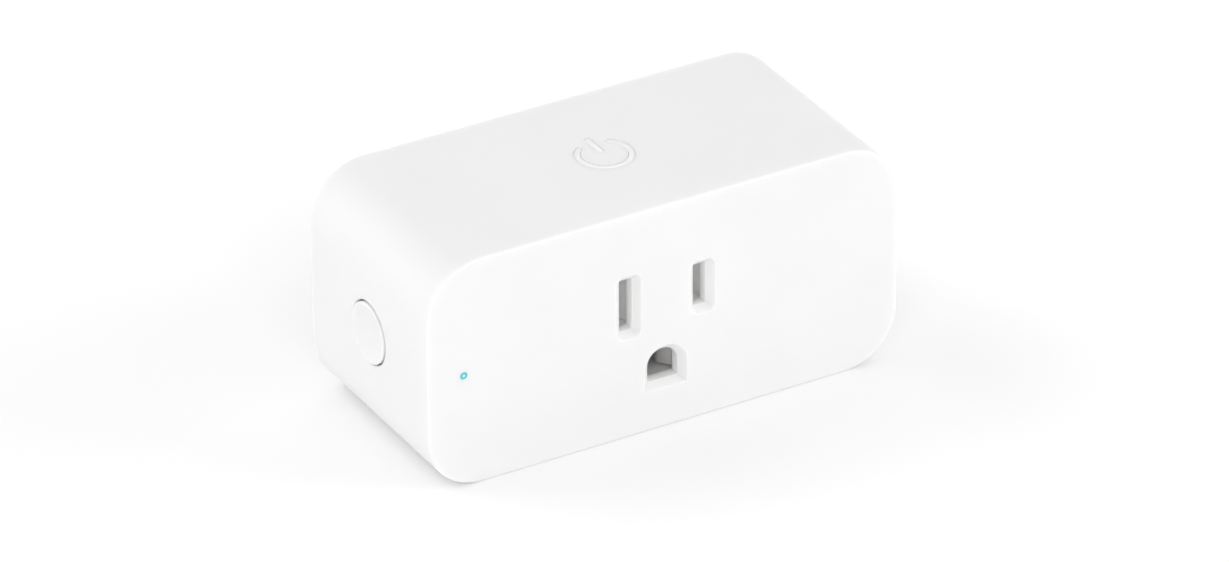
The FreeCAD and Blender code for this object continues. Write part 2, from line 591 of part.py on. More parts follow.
def can_capacitor(x, z, r, height, pitch):
    """An electrolytic capacitor: a crimped can, scored on top, on two leads."""
    y0 = BOARD_Y - 0.2
    can = rod(r, (x, y0 - height, z), height)
    can = filleted(can, 0.5, in_plane_y(y0 - height))
    crimp = Part.makeTorus(r + 0.25, 0.5, V(x, y0 - 1.8, z), Y_AXIS)
    can = can.cut(crimp).cut(rod(r * 0.8, (x, y0 - height - 1, z), 1.15))
    return union([can, *[lead(x + s * pitch / 2, z, y0 - 0.5) for s in (-1, 1)]])


def filter_choke():
    """A small drum choke in a sleeve."""
    x, z, r, height = -17.4, 22.8, 2.9, 9.0
    y0 = BOARD_Y - 0.3
    body = rod(r, (x, y0 - height, z), height)
    waist = ring(r + 1, r - 0.5, (x, y0 - height + 1.2, z), height - 2.4)
    body = body.cut(waist)
    return union([body, *[lead(x + s * 1.25, z, y0 - 0.5) for s in (-1, 1)]])


def varistor():
    """A coated surge disc standing on two leads."""
    x, y, z = 21.5, BOARD_Y - 6.6, 31.4
    disc = filleted(rod(4.5, (x, y, z - 1.8), 3.6, Z_AXIS), 1.4, lambda e: True)
    return union([disc, *[lead(x + s * 2.5, z, y + 2.5, 0.35) for s in (-1, 1)]])


def safety_capacitor():
    """A small ceramic disc capacitor on two leads."""
    x, y, z = -16.9, BOARD_Y - 5.4, 29.9
    disc = filleted(rod(3.4, (x, y, z - 1.3), 2.6, Z_AXIS), 1.0, lambda e: True)
    return union([disc, *[lead(x + s * 2.0, z, y + 2.0) for s in (-1, 1)]])


def fusible_resistor():
    """A barrel resistor that also fuses, with two bent leads."""
    y, z, half = BOARD_Y - 2.6, 31.6, 4.5
    barrel = rod(1.5, (-half, y, z), 2 * half, X_AXIS)
    waist = ring(2, 1.3, (-half + 1.6, y, z), 2 * half - 3.2, X_AXIS)
    barrel = barrel.cut(waist)
    arm = half + 1.6
    arms = rod(PIN_R, (-arm, y, z), 2 * arm, X_AXIS)
    knees = [Part.makeSphere(PIN_R, V(s * arm, y, z)) for s in (-1, 1)]
    return union([barrel, arms, *knees, *[lead(s * arm, z, y) for s in (-1, 1)]])


TRANSFORMER_X, TRANSFORMER_Z = -21.8, 11.0


def transformer_pieces():
    """The flyback transformer: ferrite core, bobbin with its pins, and winding."""
    x, z = TRANSFORMER_X, TRANSFORMER_Z
    y0 = BOARD_Y - 0.3
    base = centred(x, (y0 - 1.5, y0), z, 13.0, 11.0)
    tube = rod(2.2, (x, y0 - 9.5, z), 6.5)
    flanges = [centred(x, (y, y + 0.7), z, 9.2, 10.4) for y in (y0 - 9.5, y0 - 3.8)]
    webs = [centred(x, (y0 - 3.4, y0 - 1.4), z + s * 4.4, 9.2, 1.6) for s in (-1, 1)]
    pins = [lead(x + dx, z + s * 4.7, y0 - 1.0) for s in (-1, 1) for dx in (-4.5, -1.5, 1.5, 4.5)]
    bobbin = union([base, tube, *flanges, *webs]).cut(rod(1.65, (x, y0 - 12, z), 10.4))
    core = union([
        centred(x, (y0 - 11.2, y0 - 9.6), z, 13.0, 5.0),
        centred(x, (y0 - 3.0, y0 - 1.55), z, 13.0, 5.0),
        *[centred(x + s * 5.7, (y0 - 11.2, y0 - 1.55), z, 1.6, 5.0) for s in (-1, 1)],
    ])
    bobbin = bobbin.cut(centred(x, (y0 - 3.05, y0 - 1.5), z, 13.2, 5.1))
    for pin in pins:
        bobbin = bobbin.cut(pin)
    post = rod(1.6, (x, y0 - 9.7, z), 6.8)
    winding = rod(4.3, (x, y0 - 8.8, z), 5.0).cut(rod(2.2, (x, y0 - 12, z), 12))
    return {
        "transformer_core": core.fuse(post).removeSplitter(),
        "transformer_bobbin": bobbin,
        "transformer_winding": winding,
        "transformer_pins": group(pins),
    }


def chip(x, z, length, width, height, y=BOARD_BACK_Y, pins=0, gull=0.0):
    """A surface-mounted part on the board's back: a body, and gull-wing legs if it has pins."""
    body = centred(x, (y + 0.1 if pins else y, y + height), z, length, width)
    body = body.makeChamfer(0.12, [e for e in body.Edges if in_plane_y(y + height)(e)])
    legs = []
    for i in range(pins // 2):
        dx = (i - (pins / 2 - 1) / 2) * length / (pins / 2)
        for s in (-1, 1):
            foot = centred(x + dx, (y, y + 0.2), z + s * (width / 2 + gull / 2), 0.4, gull)
            knee = centred(x + dx, (y, y + height / 2), z + s * (width / 2 + 0.1), 0.4, 0.2)
            legs.append(union([foot, knee]))
    return union([body, *legs]) if legs else body


RESISTOR_PITCH = 2.9


def board_chips():
    """The rectifier, converter chip and the small parts soldered on the board's back."""
    rectifier = chip(-11.0, 24.0, 4.7, 3.9, 1.5, pins=4, gull=1.2)
    converter = chip(-11.0, 14.0, 4.9, 3.9, 1.4, pins=8, gull=1.0)
    driver = chip(28.0, 30.5, 2.9, 1.6, 1.0, pins=6, gull=0.6)
    diodes = [chip(x, z, 4.3, 2.6, 1.5) for x, z in ((-21.8, 11.0), (-21.0, 25.2))]
    row = [-24.0 + RESISTOR_PITCH * i for i in (0, 1, 2, 3, 4, 14, 15, 16, 17)]
    resistors = [chip(x, 33.1, 2.0, 1.25, 0.5) for x in row]
    capacitors = [chip(-33.0, 18.0 + 2.6 * i, 2.0, 1.25, 0.9) for i in range(3)]
    capacitors += [chip(x, 5.0, 3.2, 1.6, 1.2) for x in (24.5, 29.0)]
    return {
        "rectifier": rectifier,
        "converter_chip": converter,
        "relay_driver": driver,
        "snubber_diodes": group(diodes),
        "chip_resistors": group(resistors),
        "chip_capacitors": group(capacitors),
    }


HEADER_X, HEADER_ARM_Y = -30.4, -4.6
HEADER_PITCH, HEADER_PIN_R = 2.54, 0.35
HEADER_Z = [MID_Z + HEADER_PITCH * (i - 2.5) for i in range(6)]


def header_pieces():
    """The right-angle pin header between the power board and the control board."""
    half = HEADER_PITCH / 2
    plastic = block(
        (HEADER_X - half, HEADER_X + half),
        (BOARD_Y - 2.2, BOARD_Y),
        (HEADER_Z[0] - half, HEADER_Z[-1] + half),
    )
    pins = []
    for z in HEADER_Z:
        stem = lead(HEADER_X, z, HEADER_ARM_Y, HEADER_PIN_R)
        arm = rod(HEADER_PIN_R, (CONTROL_X - 0.8, HEADER_ARM_Y, z), HEADER_X - CONTROL_X + 0.8, X_AXIS)
        pins.append(union([stem, arm, Part.makeSphere(HEADER_PIN_R, V(HEADER_X, HEADER_ARM_Y, z))]))
        plastic = plastic.cut(rod(HEADER_PIN_R + 0.01, (HEADER_X, -9, z), 9))
    return {"header_body": plastic, "header_pins": group(pins)}


def power_board():
    """The main board, drilled for every lead and slotted for every tail."""
    board = prism(rounded_rect(74.0, 31.6, 7.0, BOARD_Y), BOARD_T)
    for x, z, r in LEADS:
        board = board.cut(rod(r + 0.12, (x, BOARD_Y - 1, z), BOARD_T + 2))
    for x, z, w, h in TAILS:
        board = board.cut(centred(x, (BOARD_Y - 1, 1), z, w + 0.3, h + 0.3))
    for x, z in BOARD_SCREWS:
        board = board.cut(rod(1.15, (x, BOARD_Y - 1, z), BOARD_T + 2))
    return board


def solder_joints():
    """A fillet of solder round every lead and tail, on the board's back."""
    joints = []
    for x, z, r in LEADS:
        fillet = cone(r + 0.55, r + 0.08, (x, BOARD_BACK_Y, z), 0.75)
        joints.append(fillet.cut(rod(r, (x, -1, z), 3)))
    for x, z, w, h in TAILS[:4]:
        base = rounded_rect(w + 1.8, h + 0.8, 0.6, BOARD_BACK_Y, x, z)
        top = rounded_rect(w + 0.5, h + 0.3, 0.2, BOARD_BACK_Y + 0.9, x, z)
        joints.append(Part.makeLoft([base, top], True, True).cut(centred(x, (-2, 3), z, w, h)))
    return group(joints)


def board_screws():
    return group([pan_screw((x, BOARD_BACK_Y, z), SHANK_R, 9.0, 2.0, 1.3) for x, z in BOARD_SCREWS])


def insulating_sheet():
    """A fibre sheet between the board's soldered side and the blades."""
    thickness = 0.25
    y = HOLDER_Y[0] - thickness
    sheet = prism(rounded_rect(68.0, 27.0, 3.0, y, 0, MID_Z), thickness)
    window = prism(rounded_rect(21.0, 21.0, 2.0, y - 1, 0, 16.5), 3)
    sheet = sheet.cut(window)
    for x, z in HOLDER_SCREWS:
        sheet = sheet.cut(rod(2.3, (x, y - 1, z), 3))
    return sheet


# ---------------------------------------------------------------- control board, button and light
SWITCH_FACE_X = CONTROL_X - 3.5
PLUNGER_X = SWITCH_FACE_X - 1.1
PLUNGER_R = 1.75
FLANGE_X = (-BODY_W / 2 + SIDE_WALL + 0.2, -BODY_W / 2 + SIDE_WALL + 1.0)
DISH_DEEP = 0.85


def control_board():
    """The small upright board with the radio, the switch and the light."""
    board = block((CONTROL_X, CONTROL_X + CONTROL_T), CONTROL_Y, CONTROL_Z)
    for z in HEADER_Z:
        board = board.cut(rod(0.45, (CONTROL_X - 1, HEADER_ARM_Y, z), 3, X_AXIS))
    return board


def radio_pieces():
    """The radio module: its own board with edge pads, and a shield can."""
    x0 = CONTROL_X + CONTROL_T
    y, z = (-22.9, -7.2), (MID_Z - 6.0, MID_Z + 6.0)
    board = block((x0, x0 + 0.8), y, z)
    for i in range(8):
        for edge in z:
            board = board.cut(rod(0.3, (x0 - 1, -16.0 + 1.1 * i, edge), 3, X_AXIS))
    can_y, can_z = (-17.2, -7.7), (z[0] + 0.6, z[1] - 0.6)
    can = block((x0 + 0.8, x0 + 2.6), can_y, can_z)
    can = filleted(can, 0.35, lambda e: e.BoundBox.XMax > x0 + 0.9)
    can = can.cut(block((x0, x0 + 2.4), (can_y[0] + 0.2, can_y[1] - 0.2), (can_z[0] + 0.2, can_z[1] - 0.2)))
    processor = block((x0 + 0.8, x0 + 1.7), (-14.8, -9.8), (MID_Z - 2.5, MID_Z + 2.5))
    return {"radio_board": board, "radio_shield": can, "radio_chip": processor}


def control_chips():
    """The regulator and small parts on the control board's outer face."""
    parts = []
    spots = [(y, z) for z in (13.2, 25.0) for y in (-21.0, -18.6, -16.2)]
    for y, z in [*spots, (-6.6, 13.2)]:
        parts.append(block((CONTROL_X - 0.6, CONTROL_X), (y - 0.5, y + 0.5), (z - 0.8, z + 0.8)))
    regulator = block((CONTROL_X - 1.3, CONTROL_X), (-9.0, -6.0), (24.2, 26.4))
    return group([*parts, regulator])


def switch_pieces():
    """The push switch under the button: a square body with four legs, and its plunger."""
    body = block((SWITCH_FACE_X, CONTROL_X), (BUTTON_Y - 3, BUTTON_Y + 3), (MID_Z - 3, MID_Z + 3))
    body = filleted(body, 0.4, lambda e: e.BoundBox.XLength > 3)
    well = rod(PLUNGER_R + 0.08, (SWITCH_FACE_X - 1, BUTTON_Y, MID_Z), 2.4, X_AXIS)
    rivets = [
        rod(0.45, (SWITCH_FACE_X - 0.2, BUTTON_Y + sy * 2.3, MID_Z + sz * 2.3), 0.7, X_AXIS)
        for sy in (-1, 1) for sz in (-1, 1)
    ]
    leg_x, leg_w = (CONTROL_X - 0.25, CONTROL_X), 0.8
    legs = [
        block(leg_x, (y - leg_w / 2, y + leg_w / 2), sorted((MID_Z + sz * 2.9, MID_Z + sz * 4.4)))
        for y in (BUTTON_Y - 2.2, BUTTON_Y + 2.2) for sz in (-1, 1)
    ]
    plunger = rod(PLUNGER_R, (PLUNGER_X, BUTTON_Y, MID_Z), SWITCH_FACE_X - PLUNGER_X + 0.6, X_AXIS)
    plunger = filleted(plunger, 0.25, lambda e: e.BoundBox.XMax < PLUNGER_X + 1e-6)
    return {"switch_body": union([body.cut(well), *rivets, *legs]), "switch_plunger": plunger}


def side_button():
    """The round cap: a dished face just proud of the side, a flange behind the wall, and a post."""
    face_x = -BODY_W / 2 - BUTTON_PROUD
    cap = rod(BUTTON_R, (face_x, BUTTON_Y, MID_Z), FLANGE_X[0] + 0.1 - face_x, X_AXIS)
    cap = filleted(cap, BUTTON_EDGE_R, lambda e: e.BoundBox.XMax < face_x + 1e-6)
    flange = rod(6.2, (FLANGE_X[0], BUTTON_Y, MID_Z), FLANGE_X[1] - FLANGE_X[0], X_AXIS)
    post = rod(1.5, (face_x + 1, BUTTON_Y, MID_Z), PLUNGER_X - 0.05 - face_x - 1, X_AXIS)
    rim = BUTTON_R - BUTTON_EDGE_R - 0.05
    dish_r = rim ** 2 / (2 * DISH_DEEP) + DISH_DEEP / 2
    dish = Part.makeSphere(dish_r, V(face_x + DISH_DEEP - dish_r, BUTTON_Y, MID_Z))
    hollow = ring(3.6, 1.5, (face_x + 1.9, BUTTON_Y, MID_Z), 3, X_AXIS)
    return union([cap, flange]).cut(hollow).fuse(post).cut(dish).removeSplitter()


def light_pieces():
    """The side-view lamp on the control board and the clear pipe that leads it to the face."""
    stem = rod(LIGHT_R, (LIGHT_X, FRONT_Y, MID_Z), FRONT_WALL + 0.2)
    barrel = rod(1.6, (LIGHT_X, INNER_Y + 0.02, MID_Z), 1.3)
    lamp = block((CONTROL_X - 1.7, CONTROL_X), (CONTROL_Y[0], CONTROL_Y[0] + 1.2), (MID_Z - 1.5, MID_Z + 1.5))
    window = rod(0.7, (CONTROL_X - 0.9, CONTROL_Y[0] - 0.15, MID_Z), 0.4)
    return {"light_pipe": stem.fuse(barrel).removeSplitter(), "status_lamp": union([lamp, window])}


# ---------------------------------------------------------------- assembly
def build():
    """Every node's shape, by name. The board comes after all that passes through it."""
    nodes = {
        "front_shell": front_shell(),
        "rear_cover": rear_cover(),
        "line_blade": blade(LINE_X, LINE_BLADE_W),
        "neutral_blade": blade(NEUTRAL_X, NEUTRAL_BLADE_W),
        "line_contact": blade_contact(LINE_X, LINE_SLOT),
        "neutral_contact": blade_contact(NEUTRAL_X, NEUTRAL_SLOT),
        "ground_pin": ground_pin(),
        "ground_strap": ground_strap(),
        "ground_contact": ground_contact(),
        "blade_holder": blade_holder(),
        "holder_screws": holder_screws(),
        "contact_carrier": contact_carrier(),
        "carrier_cap": carrier_cap(),
        "carrier_screws": carrier_screws(),
        "film_capacitor": film_capacitor(),
        "bulk_capacitor": can_capacitor(-24.3, 28.2, 4.0, 14.0, 3.5),
        "output_capacitor": can_capacitor(-24.6, 20.6, 3.15, 11.0, 2.5),
        "filter_choke": filter_choke(),
        "varistor": varistor(),
        "safety_capacitor": safety_capacitor(),
        "fusible_resistor": fusible_resistor(),
        "control_board": control_board(),
        "control_chips": control_chips(),
        "side_button": side_button(),
        "insulating_sheet": insulating_sheet(),
    }
    groups = [relay_pieces, transformer_pieces, board_chips, header_pieces]
    groups += [radio_pieces, switch_pieces, light_pieces]
    for pieces in groups:
        nodes.update(pieces())
    nodes["power_board"] = power_board()
    nodes["solder_joints"] = solder_joints()
    nodes["board_screws"] = board_screws()
    return nodes


os.makedirs("parts", exist_ok=True)
for name, shape in build().items():
    if not shape.isValid() or shape.Volume <= 0:
        print("check", name, shape.isValid(), shape.Volume)
    shape.exportStep(f"parts/{name}.step")
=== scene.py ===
"""Looks of the smart plug: a white box with a grounded outlet, its blades, button, light and inner parts."""
import bmesh
import bpy
import json
import math
from mathutils import Matrix, Vector


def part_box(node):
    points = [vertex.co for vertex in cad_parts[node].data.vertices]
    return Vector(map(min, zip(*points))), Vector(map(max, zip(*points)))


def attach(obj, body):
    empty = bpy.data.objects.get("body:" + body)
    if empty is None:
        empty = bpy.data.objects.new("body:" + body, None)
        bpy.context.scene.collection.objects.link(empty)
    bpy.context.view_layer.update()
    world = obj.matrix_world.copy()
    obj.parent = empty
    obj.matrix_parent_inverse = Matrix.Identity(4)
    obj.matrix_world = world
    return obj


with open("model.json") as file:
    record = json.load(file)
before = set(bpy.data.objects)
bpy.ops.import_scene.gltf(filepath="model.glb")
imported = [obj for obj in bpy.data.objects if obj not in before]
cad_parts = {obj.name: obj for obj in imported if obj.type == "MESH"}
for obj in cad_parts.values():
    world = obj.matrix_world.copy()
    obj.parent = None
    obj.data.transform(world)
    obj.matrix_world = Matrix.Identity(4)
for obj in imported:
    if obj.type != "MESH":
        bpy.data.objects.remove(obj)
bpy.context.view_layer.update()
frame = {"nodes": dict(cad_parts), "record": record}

nodes = frame["nodes"]
scene = bpy.context.scene
MM = 0.001


def middle(node):
    """The middle of a CAD node's box."""
    low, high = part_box(node)
    return (low + high) / 2


# ---------------------------------------------------------------- camera
VIEW_AZIMUTH, VIEW_ELEVATION, VIEW_ROLL = -29.97, 29.98, -0.22     # degrees
VIEW_DISTANCE = 1.1893
VIEW_ASIDE, VIEW_ABOVE = -0.00764, 0.00525      # where the lens points, off the front face's middle
LENS, SENSOR = 234.15, 36.0


def make_camera():
    """The camera stands in front, to the left and above, with a long lens."""
    low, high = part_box("front_shell")
    target = Vector(((low[0] + high[0]) / 2, low[1], (low[2] + high[2]) / 2))
    az, el, roll = (math.radians(a) for a in (VIEW_AZIMUTH, VIEW_ELEVATION, VIEW_ROLL))
    back = Vector((math.sin(az) * math.cos(el), -math.cos(az) * math.cos(el), math.sin(el)))
    right = (-back).cross(Vector((0, 0, 1))).normalized()
    up = right.cross(-back)
    right, up = right * math.cos(roll) + up * math.sin(roll), up * math.cos(roll) - right * math.sin(roll)
    data = bpy.data.cameras.new("camera")
    data.lens, data.sensor_width = LENS, SENSOR
    data.clip_start, data.clip_end = 0.01, 10.0
    camera = bpy.data.objects.new("camera", data)
    place = target + right * VIEW_ASIDE + up * VIEW_ABOVE + back * VIEW_DISTANCE
    camera.matrix_world = Matrix.Translation(place) @ Matrix((right, up, back)).transposed().to_4x4()
    scene.collection.objects.link(camera)
    scene.camera = camera


# ---------------------------------------------------------------- node graphs
class Graph:
    """A node tree with a short call for each kind of node used. Lengths in it are metres."""

    def __init__(self, tree):
        self.tree = tree
        self.where = self.node("ShaderNodeTexCoord").outputs["Object"]

    def node(self, kind, inputs=(), **settings):
        """A new node, with its settings made and its inputs fed."""
        made = self.tree.nodes.new(kind)
        for key, value in settings.items():
            setattr(made, key, value)
        for socket, value in dict(inputs).items():
            self.feed(made.inputs[socket], value)
        return made

    def feed(self, socket, value):
        """Links an output to the socket, or sets it; a colour of three numbers gets its alpha."""
        if isinstance(value, bpy.types.NodeSocket):
            self.tree.links.new(value, socket)
        elif socket.type == "RGBA":
            socket.default_value = (*value, 1)
        else:
            socket.default_value = value

    def math(self, operation, *values):
        """The result of a maths node."""
        return self.node("ShaderNodeMath", enumerate(values), operation=operation).outputs[0]

    def axes(self):
        """The three coordinates, each on its own."""
        return self.node("ShaderNodeSeparateXYZ", {0: self.where}).outputs

    def stretched(self, x, y, z):
        """Coordinates scaled along each axis, for grain that runs one way."""
        node = self.node("ShaderNodeVectorMath", {0: self.where, 1: (x, y, z)}, operation="MULTIPLY")
        return node.outputs[0]

    def noise(self, size, detail=2.0, vector=None):
        """Soft noise whose blobs are about size across."""
        inputs = {"Vector": vector or self.where, "Scale": 1 / size, "Detail": detail}
        return self.node("ShaderNodeTexNoise", inputs).outputs[0]

    def cells(self, size):
        """Cells about size across: the distance from the nearest cell's point."""
        inputs = {"Vector": self.where, "Scale": 1 / size}
        return self.node("ShaderNodeTexVoronoi", inputs).outputs["Distance"]

    def random(self, x, y):
        """A steady random value for each pair of whole numbers."""
        pair = self.node("ShaderNodeCombineXYZ", {0: x, 1: y}).outputs[0]
        return self.node("ShaderNodeTexWhiteNoise", {"Vector": pair}, noise_dimensions="2D").outputs["Value"]

    def ridges(self, along, pitch):
        """0 between turns or ribs and 1 on each one, pitch apart along a coordinate."""
        turn = self.math("MULTIPLY", along, math.pi / pitch)
        return self.math("ABSOLUTE", self.math("SINE", turn))

    def between(self, value, low, high, to_low=0.0, to_high=1.0):
        """The value's place between low and high, carried over to between to_low and to_high."""
        inputs = {0: value, 1: low, 2: high, 3: to_low, 4: to_high}
        return self.node("ShaderNodeMapRange", inputs).outputs[0]

    def inside(self, value, low, high):
        """1 where low < value < high, else 0."""
        above, below = self.math("GREATER_THAN", value, low), self.math("LESS_THAN", value, high)
        return self.math("MULTIPLY", above, below)

    def mix(self, share, first, second):
        """A colour between two colours."""
        return self.node("ShaderNodeMix", {0: share, 6: first, 7: second}, data_type="RGBA").outputs[2]

    def choose(self, share, first, second):
        """A number between two numbers."""
        return self.node("ShaderNodeMix", {0: share, 2: first, 3: second}, data_type="FLOAT").outputs[0]

    def patches(self, size, detail=3.0):
        """0 to 1 in soft patches about size across."""
        return self.between(self.noise(size, detail), 0.3, 0.7)

    def mottled(self, size, first, second, detail=3.0):
        """A colour that wanders between two colours, in patches about size across."""
        return self.mix(self.patches(size, detail), first, second)

    def ramp(self, value, stops):
        """A colour from (place, colour) stops."""
        node = self.node("ShaderNodeValToRGB", {0: value})
        elements = node.color_ramp.elements
        while len(elements) < len(stops):
            elements.new(0.5)
        for element, (place, colour) in zip(elements, stops):
            element.position = place
            element.color = (*colour, 1)
        return node.outputs[0]

    def relief(self, height, depth, under=None):
        """A normal that shows a height from 0 to 1 as a relief of that depth."""
        inputs = {"Height": height, "Distance": depth}
        if under is not None:
            inputs["Normal"] = under
        return self.node("ShaderNodeBump", inputs).outputs[0]


class Surface(Graph):
    """A material round one Principled shader."""

    def __init__(self, name, **sockets):
        self.material = bpy.data.materials.new(name)
        self.material.use_nodes = True
        self.shader = self.material.node_tree.nodes["Principled BSDF"]
        super().__init__(self.material.node_tree)
        self.set(**sockets)

    def set(self, **sockets):
        """Sockets by their names in lower case, with _ for a space."""
        for socket in self.shader.inputs:
            key = socket.name.lower().replace(" ", "_")
            if key in sockets:
                self.feed(socket, sockets[key])

    def mottled_roughness(self, low, high, size):
        """A roughness that wanders between low and high, in patches about size across."""
        self.set(roughness=self.between(self.noise(size, 3.0), 0.3, 0.7, low, high))


def shade(colour, factor):
    """The colour made lighter or darker, and never over 1."""
    return tuple(min(1.0, c * factor) for c in colour)


# ---------------------------------------------------------------- distances
def from_middle(s, along, centre):
    """How far a coordinate is from a value, either way."""
    return s.math("ABSOLUTE", s.math("SUBTRACT", along, centre))


def from_nearest(s, along, start, pitch):
    """How far a coordinate is from the nearest of a row of centres."""
    shifted = s.math("SUBTRACT", along, start - pitch / 2)
    return from_middle(s, s.math("FLOORED_MODULO", shifted, pitch), pitch / 2)


def length(s, aside, above):
    """The length of a step aside and above."""
    squares = [s.math("POWER", step, 2.0) for step in (aside, above)]
    return s.math("SQRT", s.math("ADD", *squares))


def near(s, node, across, up):
    """1 where x and z are within across and up of the middle of a node, and 0 elsewhere."""
    x, _, z = s.axes()
    centre = middle(node)
    beside = s.math("LESS_THAN", from_middle(s, x, centre[0]), across)
    above = s.math("LESS_THAN", from_middle(s, z, centre[2]), up)
    return s.math("MULTIPLY", beside, above)


# ---------------------------------------------------------------- floor and light
FLOOR_SIZE, FLOOR_ALBEDO = 8, 0.96
SKY = 0.675                                     # the light of the white surroundings
AIM, BOX_DISTANCE, BOX_W = Vector((0, 0, 0.02)), 1.2, 0.9
SOFTBOXES = {                # azimuth from the front round by the right, elevation, height in metres, watts
    "softbox_front_left": (330, 25, 0.55, 3.6),
    "softbox_low_right": (57, 19, 0.55, 5.1),
    "softbox_back_right": (135, 45, 0.55, 1.1),
    "softbox_back_left": (225, 45, 0.55, 3.0),
    "softbox_low_left": (226, 13, 0.55, 2.4),
}


def softbox(name, azimuth, elevation, height, power):
    """A rectangular area light aimed at about the object's middle."""
    az, el = math.radians(azimuth), math.radians(elevation)
    away = Vector((math.sin(az) * math.cos(el), -math.cos(az) * math.cos(el), math.sin(el)))
    data = bpy.data.lights.new(name, "AREA")
    data.shape = "RECTANGLE"
    data.size, data.size_y, data.energy = BOX_W, height, power
    lamp = bpy.data.objects.new(name, data)
    lamp.location = AIM + away * BOX_DISTANCE
    lamp.rotation_mode = "QUATERNION"
    lamp.rotation_quaternion = (-away).to_track_quat("-Z", "Y")
    scene.collection.objects.link(lamp)


def make_surroundings():
    """Even white surroundings."""
    world = bpy.data.worlds.new("studio")
    world.use_nodes = True
    background = world.node_tree.nodes["Background"]
    background.inputs["Color"].default_value = (1, 1, 1, 1)
    background.inputs["Strength"].default_value = SKY
    scene.world = world


def make_stage():
    """A pale floor, white surroundings and soft boxes all round."""
    bpy.ops.mesh.primitive_plane_add(size=FLOOR_SIZE, location=(0, 0, 0))
    floor = bpy.context.object
    floor.name = "floor"
    white = (FLOOR_ALBEDO, FLOOR_ALBEDO, FLOOR_ALBEDO)
    floor.data.materials.append(Surface("floor_white", base_color=white, roughness=0.9).material)
    make_surroundings()
    for name, (azimuth, elevation, height, power) in SOFTBOXES.items():
        softbox(name, azimuth, elevation, height, power)
    scene.view_settings.view_transform = "Standard"


# ---------------------------------------------------------------- plastics
SOFT_DEPTH = 1.2 * MM                                   # how far light spreads inside the pale plastics
CLOUD_SIZE, GLOSS_SIZE = 22 * MM, 5 * MM                # patches of tone and of gloss
SLOT_LEAD, LEAD_BLEND = 1.05 * MM, 0.2 * MM             # how deep the slots' chamfers go, give or take
OUTLET_HALF_W, OUTLET_HALF_H = 12.0 * MM, 13.0 * MM     # the middle of the face, which has the three slots
POCKET_HALF = 5.0 * MM                                  # a square round the ground slot only
LIGHT_R = 0.55 * MM                                     # the radius of the light pipe's end
PIPE_HEART, PIPE_RIM = (0.17, 0.80, 0.86), (0.035, 0.33, 0.38)


def moulded(name, colour, roughness, grain=0.16 * MM, depth=0.003 * MM, soft=0.0, painted_patch=None):
    """Moulded plastic: a fine sparked grain, faint flow clouds, uneven gloss, and light let in if soft.

    The last argument paints light or shade onto a part of the surface, as (function that makes its mask,
    colour).
    """
    s = Surface(name, ior=1.5)
    tone = s.mottled(CLOUD_SIZE, shade(colour, 0.985), shade(colour, 1.01))
    if painted_patch:
        # painted light or shade: another colour where the mask says
        mask, painted_colour = painted_patch
        tone = s.mix(mask(s), tone, painted_colour)
    s.set(base_color=tone)
    gloss = s.between(s.noise(GLOSS_SIZE, 4.0), 0.3, 0.7, roughness - 0.03, roughness + 0.04)
    s.set(roughness=gloss, normal=s.relief(s.noise(grain, 3.0), depth))
    if soft:
        s.set(subsurface_weight=soft, subsurface_radius=(1.0, 1.0, 1.0), subsurface_scale=SOFT_DEPTH)
    return s.material


def slot_walls_painted_light(s):
    """A mask of the straight walls of the outlet's slots, behind their chamfers, where a paler white is
    painted on as light over the shade in the slots.
    """
    _, y, _ = s.axes()
    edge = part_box("front_shell")[0][1] + SLOT_LEAD
    behind = s.between(y, edge - LEAD_BLEND, edge + LEAD_BLEND)
    return s.math("MULTIPLY", behind, near(s, "front_shell", OUTLET_HALF_W, OUTLET_HALF_H))


def ground_pocket_painted_shade(s):
    """A mask of the part of the carrier round the ground contact, where grey is painted on as the shade deep
    in the pocket.
    """
    return near(s, "ground_pin", POCKET_HALF, POCKET_HALF)


def light_pipe():
    """Clear plastic that glows: pale in the middle of its end, and deeper towards the rim."""
    s = Surface("light_pipe_glow", coat_weight=0.4, coat_roughness=0.1, ior=1.49)
    centre = middle("light_pipe")
    x, _, z = s.axes()
    aside, above = s.math("SUBTRACT", x, centre[0]), s.math("SUBTRACT", z, centre[2])
    outward = s.between(length(s, aside, above), 0, LIGHT_R)
    glow = s.ramp(outward, [(0.0, PIPE_HEART), (0.42, PIPE_HEART), (0.68, PIPE_RIM), (1.0, PIPE_RIM)])
    s.set(base_color=s.mix(outward, (0.10, 0.30, 0.33), (0.03, 0.12, 0.14)))
    s.set(emission_color=glow, emission_strength=0.85)
    s.mottled_roughness(0.10, 0.22, 0.4 * MM)
    s.set(normal=s.relief(s.noise(0.15 * MM), 0.001 * MM))
    return s.material


# ---------------------------------------------------------------- metals
def drawn(name, colour, roughness, along, tarnish=0.9):
    """Plated or drawn metal: hair-fine marks along one axis, soft stains and shallow dents."""
    s = Surface(name, metallic=1.0)
    stretch = [1.0, 1.0, 1.0]
    stretch[along] = 0.04
    marks = s.noise(0.12 * MM, 3.0, s.stretched(*stretch))
    stains = s.between(s.noise(3.5 * MM, 4.0), 0.35, 0.75)
    s.set(base_color=s.mix(stains, colour, shade(colour, tarnish)))
    worn = s.math("ADD", s.between(marks, 0.3, 0.7, -0.06, 0.08), s.between(stains, 0, 1, 0, 0.08))
    s.set(roughness=s.math("ADD", worn, roughness))
    dents = s.relief(s.noise(0.9 * MM, 3.0), 0.006 * MM)
    s.set(normal=s.relief(marks, 0.0025 * MM, dents))
    return s.material


